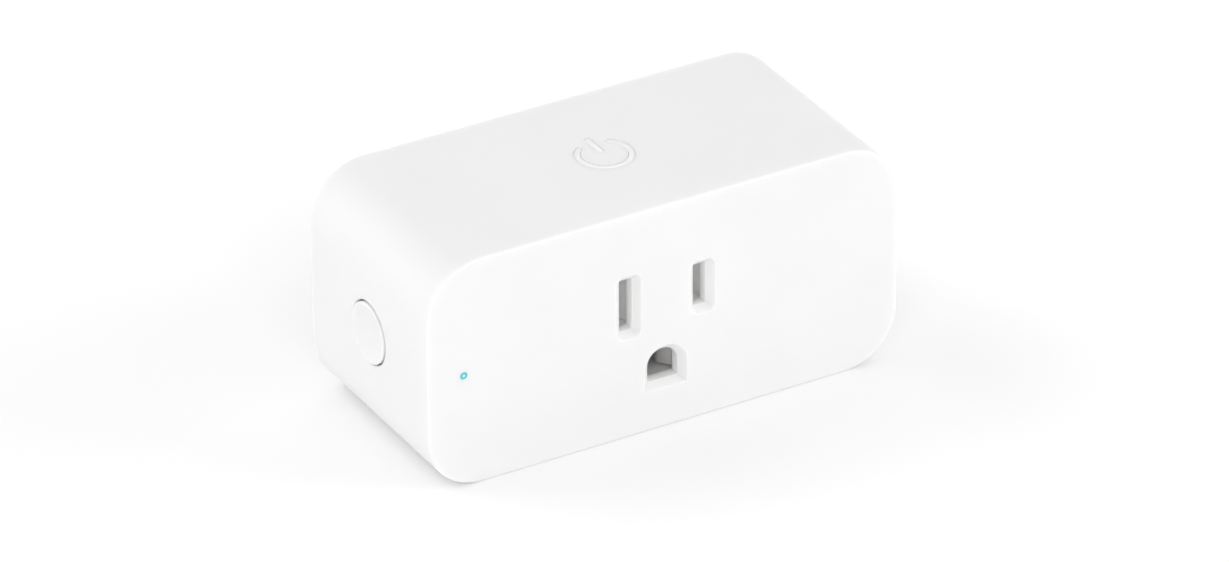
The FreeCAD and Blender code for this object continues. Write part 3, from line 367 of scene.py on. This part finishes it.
def matt_tin(name, colour, shine):
    """Matt tin plate: powdery, with rolling marks and brighter rubs; shine is how metallic it is."""
    s = Surface(name)
    marks = s.noise(0.12 * MM, 3.0, s.stretched(1, 0.05, 1))
    rubbed = s.between(s.noise(2.0 * MM, 3.0), 0.45, 0.75)
    s.set(base_color=s.mix(marks, shade(colour, 0.98), shade(colour, 1.06)))
    s.set(metallic=s.between(rubbed, 0, 1, shine, shine + 0.3))
    s.set(roughness=s.between(rubbed, 0, 1, 0.7, 0.5), normal=s.relief(marks, 0.003 * MM))
    return s.material


def solder():
    """Bright solder: smooth but uneven, with dull flux-stained feet."""
    s = Surface("solder_bright", metallic=1.0)
    stains = s.between(s.noise(0.9 * MM, 4.0), 0.4, 0.7)
    s.set(base_color=s.mix(stains, (0.78, 0.79, 0.80), (0.55, 0.53, 0.48)))
    s.mottled_roughness(0.12, 0.38, 0.5 * MM)
    s.set(normal=s.relief(s.noise(0.5 * MM, 2.0), 0.05 * MM))
    return s.material


def pressed_sheet(name, colour):
    """Soft sheet metal: rolling marks, and a lightly peened skin."""
    s = Surface(name, metallic=1.0)
    rolled = s.noise(0.2 * MM, 3.0, s.stretched(1, 0.05, 1))
    s.set(base_color=s.mix(rolled, shade(colour, 0.93), colour))
    s.mottled_roughness(0.28, 0.42, 1.1 * MM)
    skin = s.relief(s.noise(1.4 * MM, 2.0), 0.012 * MM)
    s.set(normal=s.relief(rolled, 0.002 * MM, skin))
    return s.material


def wound(name, colour, pitch):
    """Enamelled wire wound round the Y axis: one ridge a turn, and turns that differ a little."""
    s = Surface(name, metallic=1.0, coat_weight=0.5, coat_roughness=0.12)
    _, y, _ = s.axes()
    turns = s.ridges(y, pitch)
    number = s.math("FLOOR", s.math("DIVIDE", y, pitch))
    tone = s.math("MULTIPLY", s.random(number, 1.0), s.between(turns, 0, 0.6, 0.3, 1.0))
    s.set(base_color=s.mix(tone, shade(colour, 0.35), colour))
    s.mottled_roughness(0.22, 0.36, 0.8 * MM)
    s.set(normal=s.relief(turns, pitch * 0.4))
    return s.material


# ---------------------------------------------------------------- circuit boards
TRACK_PITCH, TRACK_RUN = 1.27 * MM, 6.5 * MM            # between tracks, and the length of one run
WEAVE_PITCH, MASK_SKIN = 0.5 * MM, 0.12 * MM            # of the glass cloth, and how deep the mask goes


def tracks(s, along, across, seed):
    """Straight copper runs of chance lengths, one pitch apart: 1 on a track, 0 off it."""
    row = s.math("FLOOR", s.math("DIVIDE", across, TRACK_PITCH))
    shift = s.math("MULTIPLY", s.random(row, seed), 5.0)
    run = s.math("FLOOR", s.math("ADD", s.math("DIVIDE", along, TRACK_RUN), shift))
    laid = s.math("GREATER_THAN", s.random(s.math("ADD", run, seed), row), 0.45)
    return s.math("MULTIPLY", s.math("GREATER_THAN", s.ridges(across, TRACK_PITCH), 0.8), laid)


def board(name, thickness_axis, node, mask_colour, track_colour):
    """Solder mask over copper tracks on both faces, and the glass-fibre core bare at the edges."""
    s = Surface(name, coat_weight=0.25, coat_roughness=0.2)
    axes = s.axes()
    u, v = [axes[i] for i in range(3) if i != thickness_axis]
    copper = s.math("MAXIMUM", tracks(s, u, v, 3.0), tracks(s, v, u, 11.0))
    weave = s.math("MULTIPLY", s.ridges(u, WEAVE_PITCH), s.ridges(v, WEAVE_PITCH))
    mask = s.mix(copper, shade(mask_colour, 0.9), track_colour)
    mask = s.mix(s.between(weave, 0, 1, 0, 0.12), mask, shade(mask_colour, 1.6))
    low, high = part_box(node)
    front, back = low[thickness_axis] + MASK_SKIN, high[thickness_axis] - MASK_SKIN
    core = s.inside(axes[thickness_axis], front, back)
    glass = s.mottled(0.12 * MM, (0.36, 0.33, 0.17), (0.50, 0.47, 0.28), 2.0)
    s.set(base_color=s.mix(core, mask, glass))
    s.set(roughness=s.choose(core, 0.28, 0.75))
    s.set(normal=s.relief(s.math("ADD", copper, s.math("MULTIPLY", weave, 0.2)), 0.03 * MM))
    return s.material


# ---------------------------------------------------------------- electronic parts
TIN = (0.74, 0.74, 0.73)
CAN_BACK, BOX_BACK, DISC_BACK = -1.9 * MM, -1.85 * MM, -3.6 * MM    # behind these a part is bare metal
RESIN_DEPTH = 0.3 * MM
LEG_MARGIN = 0.02 * MM
DIODE_BODY_HALF = 2.0 * MM                                          # from the middle of the pair
RESISTOR_HALF, RESISTOR_BODY_HALF, RESISTOR_PITCH = 1.0 * MM, 0.68 * MM, 2.9 * MM
RESISTOR_GLASS = 0.15 * MM                                          # how deep the glassy top is
SMALL_CHIP_X, SMALL_CHIP_ENDS = -33.0 * MM, (0.68 * MM, 1.1 * MM)   # ends as distances from a chip's middle
LARGE_CHIP_X, LARGE_CHIP_ENDS = 24.5 * MM, (1.15 * MM, 1.7 * MM)
LARGE_CHIP_PITCH = 4.5 * MM
CONTROL_CHIP_Z, CONTROL_CHIP_PITCH, CONTROL_CHIP_ENDS = 13.2 * MM, 11.8 * MM, (0.52 * MM, 0.9 * MM)
CONTROL_CHIP_BLACK = -9.5 * MM                                      # behind this the chips are black
CAN_TOP, CAN_DISC, CAN_STRIPE = 1.3 * MM, 0.84, 0.55                # the last two as shares of its radius


def capped(s, metal, colour, roughness):
    """Sets a part that is bare tinned metal where metal is 1 and its own material elsewhere."""
    s.set(base_color=s.mix(metal, colour, TIN), metallic=metal)
    s.set(roughness=s.choose(metal, roughness, 0.3))
    s.set(normal=s.relief(s.noise(0.1 * MM, 2.0), 0.004 * MM))


def legged_chip(node, legs):
    """Black moulded chip with tinned legs that reach legs beyond its body along Z."""
    s = Surface(node + "_black")
    low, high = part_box(node)
    _, _, z = s.axes()
    half_body = (high[2] - low[2]) / 2 - legs
    metal = s.math("GREATER_THAN", from_middle(s, z, (low[2] + high[2]) / 2), half_body + LEG_MARGIN)
    capped(s, metal, s.mottled(0.12 * MM, (0.012, 0.012, 0.014), (0.030, 0.030, 0.032)), 0.55)
    return s.material


def diodes():
    """Two moulded diodes, each with a tinned strap at its outer end."""
    s = Surface("diode_black")
    x, _, _ = s.axes()
    low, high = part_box("snubber_diodes")
    metal = s.math("GREATER_THAN", from_middle(s, x, (low[0] + high[0]) / 2), DIODE_BODY_HALF)
    capped(s, metal, s.mottled(0.12 * MM, (0.014, 0.014, 0.016), (0.034, 0.034, 0.036)), 0.5)
    return s.material


def row_of_resistors():
    """Chip resistors: white ceramic with a dark glassy top and tinned ends."""
    s = Surface("chip_resistor_faces")
    x, y, _ = s.axes()
    low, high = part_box("chip_resistors")
    from_centre = from_nearest(s, x, low[0] + RESISTOR_HALF, RESISTOR_PITCH)
    metal = s.math("GREATER_THAN", from_centre, RESISTOR_BODY_HALF)
    glass = s.math("GREATER_THAN", y, high[1] - RESISTOR_GLASS)
    capped(s, metal, s.mix(glass, (0.62, 0.61, 0.57), (0.015, 0.015, 0.02)), 0.35)
    return s.material


def chip_capacitors():
    """Fired ceramic blocks, tan, with tinned ends: small ones on the left and large ones on the right."""
    s = Surface("chip_capacitor_tan")
    x, _, _ = s.axes()
    small = s.inside(from_middle(s, x, SMALL_CHIP_X), *SMALL_CHIP_ENDS)
    large = s.inside(from_nearest(s, x, LARGE_CHIP_X, LARGE_CHIP_PITCH), *LARGE_CHIP_ENDS)
    tan = s.mottled(0.2 * MM, (0.42, 0.28, 0.16), (0.52, 0.37, 0.22))
    capped(s, s.math("MAXIMUM", small, large), tan, 0.45)
    return s.material


def control_chips():
    """Small parts on the control board: tan blocks with tinned ends, and black ones towards the back."""
    s = Surface("control_chip_faces")
    _, y, z = s.axes()
    ends = s.inside(from_nearest(s, z, CONTROL_CHIP_Z, CONTROL_CHIP_PITCH), *CONTROL_CHIP_ENDS)
    metal = s.math("MULTIPLY", ends, s.math("LESS_THAN", y, CONTROL_CHIP_BLACK))
    tan = s.mottled(0.2 * MM, (0.40, 0.27, 0.15), (0.50, 0.36, 0.22))
    body = s.mix(s.math("GREATER_THAN", y, CONTROL_CHIP_BLACK), tan, (0.02, 0.02, 0.022))
    capped(s, metal, body, 0.45)
    return s.material


def sleeved_can(node):
    """An electrolytic capacitor: dark shrink sleeve with a pale stripe, and a bare aluminium top."""
    s = Surface(node + "_sleeve")
    low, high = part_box(node)
    centre_x, centre_z = (low[0] + high[0]) / 2, (low[2] + high[2]) / 2
    x, y, z = s.axes()
    aside, above = s.math("SUBTRACT", x, centre_x), s.math("SUBTRACT", z, centre_z)
    can_r = (high[0] - low[0]) / 2
    on_top = s.math("LESS_THAN", y, low[1] + CAN_TOP)
    disc = s.math("MULTIPLY", s.math("LESS_THAN", length(s, aside, above), can_r * CAN_DISC), on_top)
    metal = s.math("MAXIMUM", disc, s.math("GREATER_THAN", y, CAN_BACK))
    beside = s.math("GREATER_THAN", aside, can_r * CAN_STRIPE)
    stripe = s.math("MULTIPLY", beside, s.math("SUBTRACT", 1.0, metal))
    wrinkle = s.noise(1.2 * MM, 3.0, s.stretched(1, 0.3, 1))
    sleeve = s.mix(wrinkle, (0.012, 0.016, 0.035), (0.022, 0.028, 0.055))
    sleeve = s.mix(stripe, sleeve, (0.45, 0.47, 0.50))
    brushed = s.mix(s.noise(0.15 * MM, 2.0, s.stretched(0.1, 1, 1)), (0.70, 0.71, 0.73), (0.84, 0.85, 0.86))
    s.set(base_color=s.mix(metal, sleeve, brushed), metallic=metal)
    s.set(roughness=s.between(wrinkle, 0.3, 0.7, 0.22, 0.36), normal=s.relief(wrinkle, 0.03 * MM))
    return s.material


def ferrite():
    """Sintered ferrite: charcoal grey, finely pitted, with brighter ground specks."""
    s = Surface("ferrite_grey")
    specks = s.between(s.cells(0.35 * MM), 0.0, 0.5)
    s.set(base_color=s.mix(specks, (0.075, 0.075, 0.080), (0.035, 0.035, 0.038)))
    s.mottled_roughness(0.42, 0.62, 0.6 * MM)
    s.set(normal=s.relief(s.noise(0.25 * MM, 4.0), 0.02 * MM))
    return s.material


TAPE_WIDTH, TAPE_SLANT, TAPE_RIB = 2.4 * MM, 0.05, 0.45 * MM


def tape():
    """Yellow polyester tape round the transformer's winding, with lapped edges and ribs of wire under it."""
    s = Surface("tape_yellow_wrap", coat_weight=0.35, coat_roughness=0.15)
    x, y, _ = s.axes()
    ribs = s.ridges(y, TAPE_RIB)
    laps = s.ridges(s.math("ADD", y, s.math("MULTIPLY", x, TAPE_SLANT)), TAPE_WIDTH)
    edge = s.between(laps, 0.0, 0.12)
    s.set(base_color=s.mix(edge, (0.45, 0.30, 0.02), (0.80, 0.58, 0.05)))
    s.mottled_roughness(0.2, 0.34, 1.0 * MM)
    height = s.math("ADD", s.math("MULTIPLY", ribs, 0.3), edge)
    s.set(normal=s.relief(height, 0.05 * MM))
    return s.material


RED_BAND, BLACK_BAND = (0.30, 0.04, 0.02), (0.02, 0.02, 0.02)
BROWN_BAND, GOLD_BAND = (0.10, 0.05, 0.02), (0.55, 0.42, 0.10)
RESISTOR_BANDS = ((-2.2, RED_BAND), (-0.8, BLACK_BAND), (0.6, BROWN_BAND), (2.0, GOLD_BAND))    # at x in mm
BAND_HALF, BARREL_HALF = 0.3, 4.5                                                               # mm


def banded_resistor():
    """A fusible resistor: pale green lacquer with generic colour bands, and tinned leads."""
    s = Surface("resistor_lacquer", coat_weight=0.3, coat_roughness=0.12)
    x, _, _ = s.axes()
    colour = s.mottled(0.8 * MM, (0.28, 0.40, 0.32), (0.36, 0.48, 0.38))
    for place, band in RESISTOR_BANDS:
        banded = s.inside(x, (place - BAND_HALF) * MM, (place + BAND_HALF) * MM)
        colour = s.mix(banded, colour, band)
    metal = s.math("GREATER_THAN", from_middle(s, x, 0.0), BARREL_HALF * MM)
    s.set(base_color=s.mix(metal, colour, TIN), metallic=metal, roughness=s.choose(metal, 0.32, 0.28))
    s.set(normal=s.relief(s.noise(0.6 * MM, 3.0), 0.03 * MM))
    return s.material


def coated_disc(node, colour):
    """A dipped disc capacitor or varistor with tinned leads."""
    s = Surface(node + "_coat", coat_weight=0.5, coat_roughness=0.1)
    _, y, _ = s.axes()
    metal = s.math("GREATER_THAN", y, DISC_BACK)
    pooled = s.patches(1.5 * MM)
    s.set(base_color=s.mix(metal, s.mix(pooled, shade(colour, 0.8), shade(colour, 1.1)), TIN))
    s.set(metallic=metal, roughness=s.between(pooled, 0, 1, 0.18, 0.34))
    s.set(normal=s.relief(s.noise(0.9 * MM, 2.0), 0.05 * MM))
    return s.material


def film_box():
    """The mains capacitor's box: yellow moulded plastic, with resin at its open side and tinned leads."""
    s = Surface("film_box_yellow")
    _, y, _ = s.axes()
    metal = s.math("GREATER_THAN", y, BOX_BACK)
    resin = s.inside(y, BOX_BACK - RESIN_DEPTH, BOX_BACK)
    plastic = s.mottled(4 * MM, (0.62, 0.40, 0.03), (0.70, 0.47, 0.05))
    colour = s.mix(resin, plastic, (0.30, 0.22, 0.10))
    s.set(base_color=s.mix(metal, colour, TIN), metallic=metal)
    s.mottled_roughness(0.3, 0.42, 2 * MM)
    s.set(normal=s.relief(s.noise(0.14 * MM, 3.0), 0.004 * MM))
    return s.material


def fibre():
    """Pressed fibre sheet: grey-blue, with long pale fibres lying two ways."""
    s = Surface("fibre_pressed")
    one_way = s.noise(0.5 * MM, 3.0, s.stretched(0.12, 1, 1))
    other_way = s.noise(0.4 * MM, 3.0, s.stretched(1, 1, 0.15))
    strands = s.between(s.math("ADD", one_way, other_way), 0.8, 1.3)
    s.set(base_color=s.mix(strands, (0.055, 0.070, 0.078), (0.13, 0.155, 0.165)))
    s.mottled_roughness(0.62, 0.8, 1 * MM)
    s.set(normal=s.relief(strands, 0.02 * MM))
    return s.material


LAMP_WINDOW = 0.16 * MM                                  # how deep the lamp's window goes
SWITCH_COVER, SWITCH_LEGS = 1.0 * MM, 0.3 * MM           # how deep the metal goes from each end
LABEL_MARGIN, LABEL_LINE_HALF = 1.0 * MM, 0.12 * MM


def status_lamp():
    """The lamp: a white body round a window of pale phosphor that glows blue."""
    s = Surface("lamp_body")
    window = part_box("status_lamp")[0][1] + LAMP_WINDOW
    _, y, _ = s.axes()
    lit = s.math("LESS_THAN", y, window)
    grit = s.patches(0.2 * MM, 2.0)
    s.set(base_color=s.mix(lit, s.mix(grit, (0.66, 0.66, 0.64), (0.74, 0.74, 0.72)), (0.55, 0.60, 0.40)))
    s.set(emission_color=(0.15, 0.75, 0.85), emission_strength=s.math("MULTIPLY", lit, 2.0))
    s.set(roughness=s.between(grit, 0, 1, 0.3, 0.45), normal=s.relief(grit, 0.004 * MM))
    return s.material


def switch_case():
    """The push switch: a black moulded base under a bright pressed cover, with tinned legs."""
    s = Surface("switch_case")
    low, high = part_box("switch_body")
    x, _, _ = s.axes()
    black = s.inside(x, low[0] + SWITCH_COVER, high[0] - SWITCH_LEGS)
    brushed = s.noise(0.15 * MM, 3.0, s.stretched(1, 0.06, 1))
    plate = s.mix(brushed, (0.56, 0.57, 0.58), (0.70, 0.71, 0.72))
    s.set(base_color=s.mix(black, plate, (0.02, 0.02, 0.022)))
    s.set(metallic=s.math("SUBTRACT", 1.0, black), roughness=s.choose(black, 0.3, 0.5))
    s.set(normal=s.relief(brushed, 0.003 * MM))
    return s.material


def label_film():
    """A blank label: silver-grey film with a fine darker border."""
    s = Surface("label_film")
    low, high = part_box("rear_cover")
    x, _, z = s.axes()
    beside = from_middle(s, s.math("ABSOLUTE", x), LABEL_X)
    above = from_middle(s, z, (low[2] + high[2]) / 2)
    half_w, half_h = LABEL_W / 2 - LABEL_MARGIN, LABEL_H / 2 - LABEL_MARGIN
    outside = s.math("MAXIMUM", s.math("SUBTRACT", beside, half_w), s.math("SUBTRACT", above, half_h))
    line = s.inside(outside, -LABEL_LINE_HALF, LABEL_LINE_HALF)
    brushed = s.noise(0.2 * MM, 3.0, s.stretched(0.04, 1, 1))
    film = s.mix(brushed, (0.60, 0.61, 0.62), (0.70, 0.71, 0.72))
    s.set(base_color=s.mix(line, film, (0.16, 0.17, 0.18)), metallic=0.35)
    s.mottled_roughness(0.34, 0.46, 3 * MM)
    s.set(normal=s.relief(brushed, 0.0015 * MM))
    return s.material


# the second colour is painted light: a paler white on the slot walls, which lie in shade
SHELL, SLOT_PAINTED_LIGHT = (0.80, 0.80, 0.80), (0.95, 0.95, 0.94)
# the second colour is painted shade: a grey on the carrier deep in the ground pocket
CARRIER, POCKET_PAINTED_SHADE = (0.92, 0.91, 0.89), (0.62, 0.61, 0.59)
NICKEL, BRONZE, ZINC = (0.76, 0.74, 0.70), (0.62, 0.38, 0.20), (0.66, 0.67, 0.69)
COPPER, CONTACT_TIN, GROUND_TIN = (0.72, 0.30, 0.12), (0.79, 0.79, 0.78), (0.50, 0.50, 0.49)
GREEN_MASK, GREEN_TRACK = (0.008, 0.085, 0.032), (0.020, 0.160, 0.062)
BLACK_MASK, BLACK_TRACK = (0.010, 0.012, 0.014), (0.028, 0.032, 0.036)

SLOT_FINISHES = {
    "shell_white": lambda: moulded("shell_satin", SHELL, 0.46, soft=0.8),
    "button_white": lambda: moulded("button_satin", SHELL, 0.42, depth=0.0015 * MM, soft=0.8),
    "clear_pipe": light_pipe,
    "plug_metal": lambda: drawn("nickel_plate", NICKEL, 0.24, along=1),
    "contact_metal": lambda: matt_tin("matt_tin_plate", CONTACT_TIN, 0.3),
    "screw_steel": lambda: drawn("zinc_plate", ZINC, 0.30, along=0),
    # the carrier gets painted shade, a grey, round the ground contact
    "carrier_plastic": lambda: moulded("carrier_white", CARRIER, 0.5, soft=0.6, painted_patch=(ground_pocket_painted_shade, POCKET_PAINTED_SHADE)),
    "holder_plastic": lambda: moulded("holder_black", (0.022, 0.022, 0.024), 0.48, depth=0.006 * MM),
    "fibre_sheet": fibre,
    "solder": solder,
    "lead_metal": lambda: drawn("tinned_wire", TIN, 0.26, along=1),
    "relay_plastic": lambda: moulded("relay_cover_blue", (0.018, 0.055, 0.16), 0.42, depth=0.006 * MM),
    "relay_base": lambda: moulded("relay_base_black", (0.018, 0.018, 0.020), 0.5, depth=0.006 * MM),
    "soft_iron": lambda: drawn("soft_iron_plate", (0.52, 0.52, 0.53), 0.38, along=1, tarnish=0.75),
    "bobbin_plastic": lambda: moulded("bobbin_cream", (0.62, 0.56, 0.42), 0.5),
    "copper_wire": lambda: wound("enamelled_wire", COPPER, 0.32 * MM),
    "spring_copper": lambda: drawn("spring_bronze", BRONZE, 0.3, along=0, tarnish=0.82),
    "ferrite": ferrite,
    "tape_yellow": tape,
    "header_black": lambda: moulded("header_black_nylon", (0.018, 0.018, 0.019), 0.5, depth=0.006 * MM),
    "shield_metal": lambda: pressed_sheet("nickel_silver", (0.68, 0.67, 0.64)),
    "lamp_white": status_lamp,
    "plunger_black": lambda: moulded("plunger_black_nylon", (0.020, 0.020, 0.022), 0.42),
}
NODE_FINISHES = {
    # the front shell gets painted light, a paler white, on the walls of its slots
    "front_shell": lambda: moulded("front_satin", SHELL, 0.46, soft=0.8, painted_patch=(slot_walls_painted_light, SLOT_PAINTED_LIGHT)),
    "ground_contact": lambda: matt_tin("ground_tin_plate", GROUND_TIN, 0.5),
    "power_board": lambda: board("power_board_mask", 1, "power_board", GREEN_MASK, GREEN_TRACK),
    "control_board": lambda: board("control_board_mask", 0, "control_board", GREEN_MASK, GREEN_TRACK),
    "radio_board": lambda: board("radio_board_mask", 0, "radio_board", BLACK_MASK, BLACK_TRACK),
    "bulk_capacitor": lambda: sleeved_can("bulk_capacitor"),
    "output_capacitor": lambda: sleeved_can("output_capacitor"),
    "film_capacitor": film_box,
    "varistor": lambda: coated_disc("varistor", (0.62, 0.20, 0.03)),
    "safety_capacitor": lambda: coated_disc("safety_capacitor", (0.03, 0.16, 0.48)),
    "fusible_resistor": banded_resistor,
    "rectifier": lambda: legged_chip("rectifier", 1.2 * MM),
    "converter_chip": lambda: legged_chip("converter_chip", 1.0 * MM),
    "relay_driver": lambda: legged_chip("relay_driver", 0.6 * MM),
    "snubber_diodes": diodes,
    "chip_resistors": row_of_resistors,
    "chip_capacitors": chip_capacitors,
    "control_chips": control_chips,
    "transformer_bobbin": lambda: moulded("phenolic_black", (0.020, 0.018, 0.017), 0.45, depth=0.008 * MM),
    "radio_chip": lambda: moulded("radio_chip_black", (0.016, 0.016, 0.018), 0.5, depth=0.004 * MM),
    "switch_body": switch_case,
}


def dress():
    """Gives every CAD node its own finish, or the one that its slot's nodes share."""
    shared = {}
    for part in frame["record"]["subparts"]:
        node, slot = part["node"], part["material_slot"]
        if node in NODE_FINISHES:
            material = NODE_FINISHES[node]()
        else:
            if slot not in shared:
                shared[slot] = SLOT_FINISHES[slot]()
            material = shared[slot]
        nodes[node].data.materials[0] = material


# ---------------------------------------------------------------- added pieces
SHARP = math.radians(32)


def finish_mesh(name, mesh_code, body, material):
    """A new piece from the mesh that mesh_code builds, riding on a body."""
    bm = bmesh.new()
    mesh_code(bm)
    bmesh.ops.recalc_face_normals(bm, faces=bm.faces)
    for face in bm.faces:
        face.smooth = True
    for edge in bm.edges:
        edge.smooth = edge.calc_face_angle(0.0) < SHARP
    mesh = bpy.data.meshes.new(name)
    bm.to_mesh(mesh)
    bm.free()
    mesh.materials.append(material)
    piece = bpy.data.objects.new(name, mesh)
    scene.collection.objects.link(piece)
    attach(piece, body)


def layered(bm, loops):
    """A closed solid through loops of equal length, shut by a face at each end."""
    rings = [[bm.verts.new(point) for point in loop] for loop in loops]
    for lower, upper in zip(rings, rings[1:]):
        for i in range(len(lower)):
            j = (i + 1) % len(lower)
            bm.faces.new((lower[i], lower[j], upper[j], upper[i]))
    bm.faces.new(rings[0])
    bm.faces.new(rings[-1])


def arc(centre, radius, start, end, steps):
    """Points (u, v) round a centre, angles in degrees."""
    angles = [math.radians(start + (end - start) * i / steps) for i in range(steps + 1)]
    return [(centre[0] + radius * math.cos(a), centre[1] + radius * math.sin(a)) for a in angles]


MARK_R, MARK_LINE, MARK_GAP = 4.1 * MM, 1.0 * MM, 40      # middle radius, stroke, half the opening in degrees
MARK_BAR = (1.1 * MM, 5.0 * MM)                           # the bar's two end centres, from the ring's centre
MARK_CLEAR, MARK_FLOOR, MARK_TOP = 0.04 * MM, 0.24 * MM, 0.05 * MM   # side gap, and depths below the top face
MARK_SOFTEN = 0.05 * MM


def ring_outline(half, centre):
    """The mark's open ring as a closed outline, half its stroke wide to each side."""
    start, end = 90 + MARK_GAP, 450 - MARK_GAP
    ends = [arc(centre, MARK_R, a, a, 1)[0] for a in (start, end)]
    outer = arc(centre, MARK_R + half, start, end, 72)
    inner = arc(centre, MARK_R - half, end, start, 72)
    far_cap = arc(ends[1], half, end, end + 180, 10)[1:-1]
    near_cap = arc(ends[0], half, start + 180, start + 360, 10)[1:-1]
    return outer + far_cap + inner + near_cap


def bar_outline(half, centre):
    """The mark's bar as a closed outline with round ends."""
    low, high = (centre[0], centre[1] + MARK_BAR[0]), (centre[0], centre[1] + MARK_BAR[1])
    return arc(high, half, 0, 180, 12) + arc(low, half, 180, 360, 12)


def mark_inlay(bm):
    """A glossy inlay in the power mark's recess, with softened top edges."""
    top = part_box("front_shell")[1][2]
    centre = (middle("front_shell")[0], middle("side_button")[1])
    half, soften = MARK_LINE / 2 - MARK_CLEAR, MARK_SOFTEN
    levels = [(half, MARK_FLOOR), (half, MARK_TOP + soften), (half - soften * 0.3, MARK_TOP + soften * 0.3)]
    levels.append((half - soften, MARK_TOP))
    for outline in (ring_outline, bar_outline):
        layered(bm, [[(u, v, top - depth) for u, v in outline(width, centre)] for width, depth in levels])


LABEL_X, LABEL_W, LABEL_H, LABEL_R = 26.0 * MM, 22.0 * MM, 16.0 * MM, 1.5 * MM
LABEL_CLEAR, LABEL_FLOOR, LABEL_TOP = 0.12 * MM, 0.19 * MM, 0.06 * MM   # side gap, and depths in the wall
LABEL_SOFTEN = 0.02 * MM


def label_outline(inset):
    """A label's outline round its own middle, drawn in by inset."""
    u, v, r = LABEL_W / 2 - LABEL_R, LABEL_H / 2 - LABEL_R, LABEL_R - inset
    corners = [((u, v), 0), ((-u, v), 90), ((-u, -v), 180), ((u, -v), 270)]
    return [point for centre, start in corners for point in arc(centre, r, start, start + 90, 8)]


def label(side):
    """The mesh code of a blank label in its recess on the rear cover."""
    def code(bm):
        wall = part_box("rear_cover")[1][1]
        mid_x, mid_z = side * LABEL_X, middle("rear_cover")[2]
        levels = [(LABEL_CLEAR, LABEL_FLOOR), (LABEL_CLEAR, LABEL_TOP + LABEL_SOFTEN)]
        levels.append((LABEL_CLEAR + LABEL_SOFTEN, LABEL_TOP))
        loops = []
        for inset, depth in levels:
            loops.append([(mid_x + u, wall - depth, mid_z + v) for u, v in label_outline(inset)])
        layered(bm, loops)
    return code


CHOKE_WAIST_R, WIRE_R, WIRE_PITCH, CHOKE_TURNS = 2.4 * MM, 0.19 * MM, 0.42 * MM, 15
WIRE_START, WIRE_CLEAR = 1.45 * MM, 0.01 * MM
TURN_STEPS, WIRE_SIDES = 28, 8


def choke_winding(bm):
    """Enamelled wire wound in one layer on the choke's waist."""
    low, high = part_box("filter_choke")
    centre_x, centre_z = (low[0] + high[0]) / 2, (low[2] + high[2]) / 2
    start_y, radius = low[1] + WIRE_START, CHOKE_WAIST_R + WIRE_R + WIRE_CLEAR
    lengthwise = Vector((0, 1, 0))
    section = [2 * math.pi * k / WIRE_SIDES for k in range(WIRE_SIDES)]
    rings = []
    for i in range(TURN_STEPS * CHOKE_TURNS + 1):
        a = 2 * math.pi * i / TURN_STEPS
        out = Vector((math.cos(a), 0, math.sin(a)))
        spot = Vector((centre_x, start_y + WIRE_PITCH * i / TURN_STEPS, centre_z)) + out * radius
        rings.append([spot + (out * math.cos(t) + lengthwise * math.sin(t)) * WIRE_R for t in section])
    layered(bm, rings)


def enamel():
    """Red-brown wire enamel over copper, glossy, with thinner and thicker patches."""
    s = Surface("wire_enamel", metallic=1.0, coat_weight=0.6, coat_roughness=0.08)
    s.set(base_color=s.mottled(1.5 * MM, shade(COPPER, 0.75), COPPER))
    s.mottled_roughness(0.2, 0.34, 0.6 * MM)
    s.set(normal=s.relief(s.noise(0.3 * MM, 2.0), 0.004 * MM))
    return s.material


def add_pieces():
    """The mark's inlay, the two labels and the choke's wire."""
    gloss = moulded("mark_gloss", shade(SHELL, 1.04), 0.12, depth=0.0)
    finish_mesh("mark_inlay", mark_inlay, "housing", gloss)
    film = label_film()
    for name, side in (("label_left", -1), ("label_right", 1)):
        finish_mesh(name, label(side), "housing", film)
    finish_mesh("choke_winding", choke_winding, "housing", enamel())


make_camera()
make_stage()
dress()
add_pieces()
